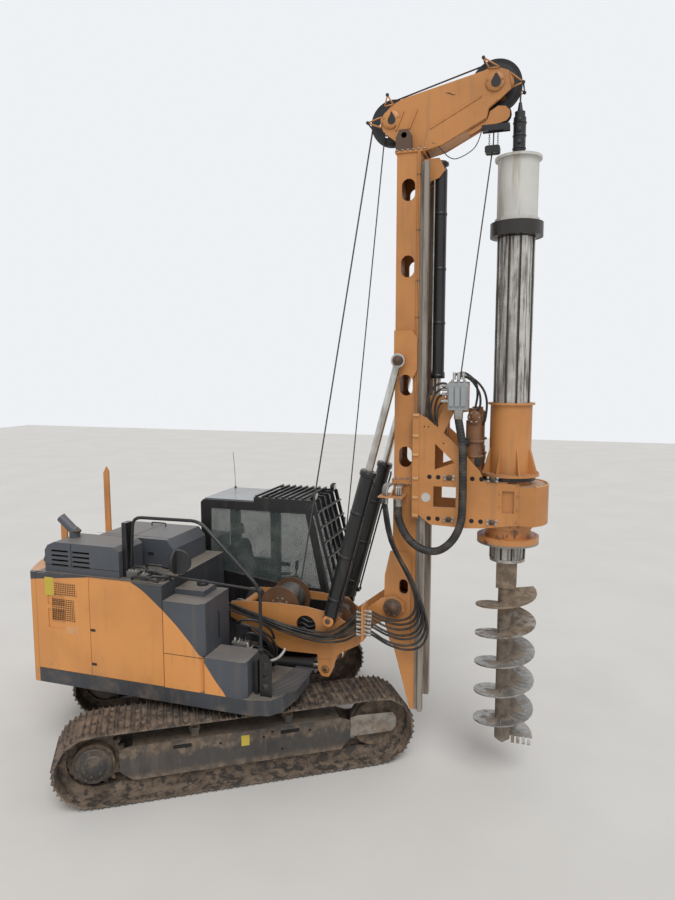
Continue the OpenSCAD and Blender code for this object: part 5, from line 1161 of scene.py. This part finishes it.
# A pad is a box pulled to a superellipse: each side bows out by the crown and its edges are round
def padMesh(name, low, high, channels, power=5.0, steps=18, crown=0.10):
    low, high = np.array(low, float), np.array(high, float)
    u, v = np.meshgrid(np.linspace(-1, 1, steps), np.linspace(-1, 1, steps), indexing="ij")
    i, j = np.meshgrid(np.arange(steps - 1), np.arange(steps - 1), indexing="ij")
    quad = np.stack([i * steps + j, (i + 1) * steps + j, (i + 1) * steps + j + 1, i * steps + j + 1], -1).reshape(-1, 4)
    sides, faces = [], []
    for axis in range(3):
        for side in (-1, 1):
            p = np.stack([side + 0 * u, u, v], -1).reshape(-1, 3)
            faces += (quad[:, ::side] + len(sides) * steps * steps).tolist()
            sides.append(np.roll(p, axis, 1))
    p = np.concatenate(sides)
    p /= (np.abs(p) ** power).sum(1, keepdims=True) ** (1 / power)
    thin = int(np.argmin(high - low))
    wide = [k for k in range(3) if k != thin]
    p[:, thin] *= 1 + crown * (1 - p[:, wide[0]] ** 2) * (1 - p[:, wide[1]] ** 2)
    if channels:
        long = wide[int(np.argmax((high - low)[wide]))]
        grooves = np.abs(np.cos(p[:, long] * np.pi * channels / 2)) ** 0.5
        p[:, thin] *= 0.90 + 0.10 * grooves
    mesh = newMesh(name, mm((low + high) / 2 + p * (high - low) / 2), faces)
    work = bmesh.new()
    work.from_mesh(mesh)
    bmesh.ops.remove_doubles(work, verts=work.verts, dist=0.0004)
    bmesh.ops.recalc_face_normals(work, faces=work.faces)
    work.to_mesh(mesh)
    work.free()
    mesh.polygons.foreach_set("use_smooth", [True] * len(mesh.polygons))
    return mesh


# Turned by the lean in the plane of X and Z and set on the hinge, which is the origin until then
def leanBack(mesh, p=cab):
    points, a = pointsOf(mesh), math.radians(p["lean"])
    x, z = points[:, 0] - slewX, points[:, 2].copy()
    hinge = mm((p["hinge"][0], 0, p["hinge"][1]))
    points[:, 0] = hinge[0] + x * math.cos(a) - z * math.sin(a)
    points[:, 2] = hinge[2] + x * math.sin(a) + z * math.cos(a)
    return movePoints(mesh, points)


# Filled by Cloth with pressure; a vertex may move by the cap at most
def filled(piece, cap=0.010):
    start = pointsOf(piece.data)
    cloth = piece.modifiers.new("fill", "CLOTH")
    cloth.settings.use_pressure = True
    cloth.settings.uniform_pressure_force = 4
    cloth.settings.effector_weights.gravity = 0
    for step in range(1, 13):
        bpy.context.scene.frame_set(step)
    move = pointsOf(piece.evaluated_get(bpy.context.evaluated_depsgraph_get()).data) - start
    move *= np.minimum(1, cap / np.maximum(np.linalg.norm(move, axis=1, keepdims=True), 1e-9))
    piece.modifiers.clear()
    movePoints(piece.data, start + move)
    bpy.context.scene.frame_set(1)


pads = []
for name, (low, high, channels, leaning) in cab["pads"].items():
    mesh = padMesh(name, low, high, channels)
    pads.append(addPiece(name, leanBack(mesh) if leaning else mesh, "upper", "seatFabric", ["operator_seat"]))
for pad in pads:
    filled(pad)
shell = solids(boxes=[((-138, 560, 20), (-112, 990, 620), 10)],
               pipes=[([(-66, y, 630), (-66, y, 710)], 7, 8) for y in (700, 850)])
addPiece("seatFrame", solids(plates=[(cab["base"], 590, 960, 8)]) + [leanBack(mesh) for mesh in shell], "upper",
         "blackPlastic", ["operator_seat"])

# Consoles, monitor and levers inside; roof panel, wiper, lamps, handle, hinges and aerial outside
middles = cab["consoleMiddles"]
lamps = [(1010, y, 3010) for y in (400, 1150)]
lampAxis = (1, 0, -0.18)
addFittings({
    "consoles": ("upper", "blackPlastic", dict(
        hides=["operator_seat"], plates=[(cab["console"], y - 57, y + 57, 12) for y in middles]
        + [(cab["armrest"], y - 38, y + 38, 8) for y in middles],
        pipes=[([(455, y, 1710), (460, y, 1760), (468, y, 1830)], 11, 10) for y in middles],
        caps=[(cab["grip"], (468, y, 1816), (0.08, 0, 1), 16) for y in middles]
        + [(cab["boot"], (455, y, 1706), up, 20) for y in middles])),
    "monitor": ("upper", "blackPlastic", dict(
        pipes=[([(900, 420, 1160), (900, 420, 1500), (890, 420, 1600), (870, 430, 1700)], 18, 10)],
        boxes=[((846, 340, 1660), (880, 560, 1830), 10)])),
    "monitorGlass": ("upper", "screenGlass", dict(boxes=[((843, 352, 1672), (846, 548, 1818), 1)])),
    "travelLevers": ("upper", "blackPlastic", dict(
        pipes=[([(760, y, 1110), (770, y, 1300), (740, y, 1500), (720, y, 1580)], 9, 8) for y in (700, 850)],
        caps=[([(0, 12), (8, 20), (60, 22), (80, 14)], (720, y, 1570), (-0.2, 0, 1), 14) for y in (700, 850)],
        boxes=[((720, y - 45, 1120), (900, y + 45, 1136), 5) for y in (640, 910)])),
    # Painted reflection of the sky on the roof panel's black paint
    "roofPanel": ("upper", "roofPaintedSkyReflection", dict(boxes=[((-520, 350, 2901), (190, 1200, 2909), 3)])),
    "wiper": ("upper", "blackPlastic", dict(pipes=[
        ([(1190, 560, 1590), (1170, 600, 1700), (1135, 680, 1980), (1100, 740, 2180)], 6, 8),
        ([(1158, 640, 1790), (1090, 780, 2330)], 8, 6)])),
    "roofLamps": ("upper", "blackPlastic", dict(
        caps=[([(0, 20), (14, 44), (40, 54), (62, 56), (66, 52)], (x - 60, y, z), lampAxis, 24) for x, y, z in lamps],
        boxes=[((x - 50, y - 12, z - 60), (x - 30, y + 12, z - 30), 3) for x, y, z in lamps])),
    "roofLampGlass": ("upper", "lampGlass", dict(caps=[
        ([(0, 48), (3, 46), (4, 20)], (x + 4, y, z - 11), lampAxis, 24) for x, y, z in lamps])),
    "doorHandle": ("cab_entry", "blackPlastic", dict(boxes=[((160, 1288, 1790), (300, 1300, 1850), 4)], pipes=[
        ([(180, 1296, 1800), (180, 1316, 1806), (280, 1316, 1806), (280, 1296, 1800)], 7, 8, up, 2)])),
    "cabHinges": ("upper", "blackPaint", dict(caps=[
        ([(0, 15), (3, 18), (67, 18), (70, 15)], (1112, 1262, z), up, 14) for z in (1350, 1900, 2500)])),
    "aerial": ("upper", "blackPlastic", dict(
        caps=[([(0, 16), (20, 18), (30, 8)], (-480, 1180, 2900), up, 14)],
        pipes=[([(-480, 1180, 2920), (-490, 1180, 3160), (-510, 1180, 3420)], 3.5, 6)])),
})
print("cab furnished")

# Tracks: motor cover, yoke plate, holes and bolts, made beside a track along X and turned with the undercarriage
track = {
    "turn": 32.8, "face": 1152, "skin": 1150,
    "motor": (-1575, 420),
    "cover": [(0, 186), (14, 190), (30, 186), (36, 172), (36, 128), (50, 122), (62, 110), (66, 60), (70, 56), (72, 20)],
    "yoke": [(1240, 330), (1240, 560), (1330, 580), (1760, 560), (1800, 500), (1800, 380), (1740, 330)],
    "holes": [(230, 470), (330, 520), (440, 300), (-620, 480), (-250, 470), (760, 480)],
    "windows": [(-760, 476, -560, 520), (420, 476, 640, 520)], "label": (-20, 400, 70, 520),
}


# From the track's own axes, X along it and Y across, to the machine's
def turnMesh(mesh):
    points = pointsOf(mesh) - slewX * ahead
    c, s = math.cos(math.radians(track["turn"])), math.sin(math.radians(track["turn"]))
    x, y = points[:, 0] * c - points[:, 1] * s, points[:, 0] * s + points[:, 1] * c
    return movePoints(mesh, np.stack([x + slewX, y, points[:, 2]], -1))


x, z = track["motor"]
face, skin = track["face"], track["skin"]
coverStuds = np.vstack([circle((x, face + 36, z), 156, np.arange(12) * np.pi / 6),
                        circle((x, face + 64, z), 92, np.arange(6) * np.pi / 3 + 0.3)])
for name, finish, rows in (
    ("trackMotorCovers", "frameGrey", dict(caps=[(track["cover"], (x, face, z), left, 40)])),
    ("trackMotorBolts", "frameGrey", dict(studs=[(coverStuds, left, 12, 12)])),
    ("trackYokes", "trackPale", dict(plates=[(track["yoke"], face, face + 12, 3)])),
    # Painted shade in the frame's holes and windows: dark discs and plates on its skin
    ("trackHoles", "darkMarksAndPaintedHoleShade", dict(caps=[
        ([(0, 15), (1, 14)], (hx, skin + 0.5, hz), left, 16) for hx, hz in track["holes"]])),
    ("trackWindows", "darkMarksAndPaintedHoleShade", dict(plates=[
        (roundedOutline(*corners, 16), skin, skin + 1, 0) for corners in track["windows"]])),
):
    addPiece(name, [turnMesh(mesh) for mesh in solids(mirrored=True, **rows)], "undercarriage", finish)
addPiece("trackBlank", turnMesh(plate(rectangle(*track["label"]), -skin - 2, -skin, 0.5)), "undercarriage",
         "blankYellow")
print("tracks dressed")

# Swing valve and its hoses between the tank and the boom, and the pale bent pipe there
valve = {
    "blocks": [((420, -800, 1160), (640, -640, 1420), 6), ((660, -760, 1140), (800, -640, 1330), 6),
               ((440, -830, 1420), (600, -700, 1520), 6), ((500, -620, 1110), (700, -540, 1300), 6)],
    "spools": [(450 + 44 * k, -820 + 6 * k, 1520) for k in range(4)],
    "hoses": [[(450, -780, 1520), (440, -800, 1640), (520, -820, 1720), (700, -760, 1690), (820, -640, 1560),
               (860, -560, 1400), (840, -520, 1250)],
              [(500, -790, 1520), (500, -830, 1680), (600, -850, 1760), (760, -780, 1660), (840, -660, 1480),
               (830, -560, 1320), (780, -520, 1220)],
              [(560, -770, 1520), (580, -810, 1620), (680, -800, 1650), (790, -720, 1560), (820, -620, 1400),
               (780, -540, 1290), (720, -520, 1200)],
              [(620, -720, 1400), (700, -760, 1480), (800, -740, 1440), (850, -640, 1330), (840, -560, 1240),
               (800, -500, 1180)],
              [(700, -720, 1330), (740, -760, 1400), (820, -700, 1380), (860, -620, 1290), (840, -540, 1200),
               (760, -500, 1150)],
              [(430, -700, 1420), (400, -720, 1560), (440, -760, 1700), (560, -780, 1780), (700, -720, 1760),
               (800, -600, 1640), (820, -520, 1500)]],
    "bent": [(640, -860, 1560), (648, -862, 1500), (680, -866, 1420), (760, -860, 1372), (880, -840, 1366),
             (980, -800, 1400), (1030, -760, 1460), (1044, -740, 1500)],
    "nut": [(0, 19), (4, 22), (26, 22), (30, 18), (54, 18)],
}
addFittings({
    "swingValve": ("upper", "engineIron", dict(boxes=valve["blocks"])),
    "swingValveCaps": ("upper", "zinc", dict(studs=[
        (valve["spools"] + [(x, y, 1421) for x in (450, 520, 610) for y in (-780, -660)]
         + [(x, y, 1331) for x in (690, 770) for y in (-740, -670)], up, 17, 20)])),
    "swingValveFaces": ("upper", "zinc", dict(studs=[
        ([(x, -801, z) for x in (460, 530, 600) for z in (1200, 1290, 1380)]
         + [(x, -761, z) for x in (690, 760) for z in (1180, 1270)], -left, 18, 22)])),
    "swingPipes": ("upper", "blackPaint", dict(pipes=[(route, 15, 8, (0.3, 0.2, 1)) for route in valve["hoses"]])),
    "bentPipe": ("upper", "zinc", dict(pipes=[(valve["bent"], 17, 12, up)])),
    "swingPipeNuts": ("upper", "zinc", dict(caps=[
        (valve["nut"], route[0] - 6 * up, up, 12) for route in valve["hoses"]])),
})
print("swing valve made")

# Short hoses from the hose block to the carriage and the motors, with the motors' covers and port blocks
motor = {
    "toPlate": [[(2744.7, -395, 4400), (2700, -395, 4425), (2610, -380, 4400), (2545, -360, 4300), (2512, -330, 4190),
                 (2520, -305, 4090), (2548, -290, 4030)],
                [(2744.7, -370, 4360), (2690, -370, 4370), (2620, -360, 4330), (2570, -340, 4240), (2550, -315, 4130),
                 (2572, -290, 4010)],
                [(2744.7, -345, 4310), (2690, -345, 4310), (2630, -335, 4270), (2600, -320, 4180), (2592, -300, 4080),
                 (2598, -289, 3985)],
                [(2744.7, -390, 4240), (2700, -390, 4235), (2650, -375, 4190), (2625, -345, 4110), (2618, -310, 4010),
                 (2625, -289, 3965)]],
    "toMotor": [[(2800, -360, 4462), (2810, -350, 4510), (2900, -300, 4530), (3000, -220, 4440), (3020, -180, 4300),
                 (3000, -172, 4163)],
                [(2845, -370, 4462), (2870, -360, 4500), (2990, -330, 4470), (3085, -290, 4370), (3125, -260, 4240),
                 (3115, -220, 4080), (3088, -175, 3990)],
                [(2890, -350, 4462), (2910, -335, 4490), (2980, -290, 4440), (3050, -270, 4320), (3060, -268, 4200),
                 (3030, -250, 4140), (3006, -236, 4100)]],
    "hoseRadius": 12, "at": (3000, 170),
    "collar": [(0, 92), (3, 97), (21, 97), (24, 92)], "collars": (3430, 3640, 3800),
    "cover": [(0, 66), (6, 70), (22, 70), (26, 62), (26, 34), (34, 30), (36, 12)],
}
for k, route in enumerate(motor["toPlate"] + motor["toMotor"]):
    layCord(f"motorHose{k + 1}", smoothRoute(route, 4), motor["hoseRadius"], "carriage", "hose")
addPiece("motorHoseEnds", [hoseEnds([route[0] for route in motor["toPlate"]], -ahead),
                           hoseEnds([route[0] for route in motor["toMotor"]], up)], "carriage", "zinc")
x, gauge = motor["at"]
addFittings({
    "motorCovers": ("carriage", "motorRust", dict(
        mirrored=True, caps=[(motor["collar"], (x, gauge, z), up, 28) for z in motor["collars"]]
        + [(motor["cover"], (x, gauge + 78, 4070), left, 28)])),
    "motorPorts": ("carriage", "blackPaint", dict(
        mirrored=True,
        boxes=[((x - 108, 196, 3764), (x - 40, 292, 3850), 6), ((x + 20, 196, 3560), (x + 80, 276, 3640), 6)],
        caps=[([(0, 20), (4, 24), (26, 24), (30, 18)], (x - 74, 292, 3806), left, 14)])),
    "motorCoverBolts": ("carriage", "zinc", dict(mirrored=True, studs=[
        (circle((x, gauge + 104, 4070), 52, np.arange(6) * np.pi / 3), left, 7, 7)])),
})
grease = [(0, 268), (1, 270), (43, 270), (44, 268)]
addPiece("neckGrease", turned(grease, (drillAhead, 0, 3400.5), up, 48), "carriage", "greasedIron")
print("motors dressed")

# Studio: pale floor, even sky, one broad soft sun from the camera's side
studio = {
    "floorHalf": 40, "floorColour": (0.66, 0.645, 0.62), "backdrop": (0.86, 0.88, 0.91), "skyLevel": 0.62,
    "sunLevel": 1.5, "sunAngle": 35, "sunFrom": (38, 0, 28),
}


def buildStudio(s):
    scene, h = bpy.context.scene, s["floorHalf"]
    mesh = newMesh("floor", [(-h, -h, 0), (h, -h, 0), (h, h, 0), (-h, h, 0)], [(0, 1, 2, 3)])
    floor = bpy.data.objects.new("floor", mesh)
    scene.collection.objects.link(floor)
    material, shader, coords, uv = newFinish("floor")
    darker = [c * 0.95 for c in s["floorColour"]]
    plug(shader, "Base Color", mixed(between(noise(coords, 0.6, 6), 0.3, 0.7), s["floorColour"], darker))
    plug(shader, "Roughness", 0.9)
    mesh.materials.append(material)
    scene.world = bpy.data.worlds.new("studio")
    scene.world.use_nodes = True
    tree = scene.world.node_tree
    tree.nodes.clear()
    path = addNode(tree, "ShaderNodeLightPath").outputs
    seen = maths("MAXIMUM", path["Is Camera Ray"], path["Is Glossy Ray"])
    seen = maths("MAXIMUM", seen, path["Is Transmission Ray"])
    sky = addNode(tree, "ShaderNodeBackground", {"Color": (1, 1, 1, 1), "Strength": s["skyLevel"]})
    back = addNode(tree, "ShaderNodeBackground", {"Color": (*s["backdrop"], 1), "Strength": 1.0})
    mix = addNode(tree, "ShaderNodeMixShader", {0: seen, 1: sky.outputs[0], 2: back.outputs[0]})
    addNode(tree, "ShaderNodeOutputWorld", {0: mix.outputs[0]})
    sun = bpy.data.objects.new("sun", bpy.data.lights.new("sun", "SUN"))
    sun.data.energy = s["sunLevel"]
    sun.data.angle = math.radians(s["sunAngle"])
    sun.rotation_euler = [math.radians(a) for a in s["sunFrom"]]
    scene.collection.objects.link(sun)
    scene.view_settings.view_transform = "Standard"


buildStudio(studio)
print("studio lit")
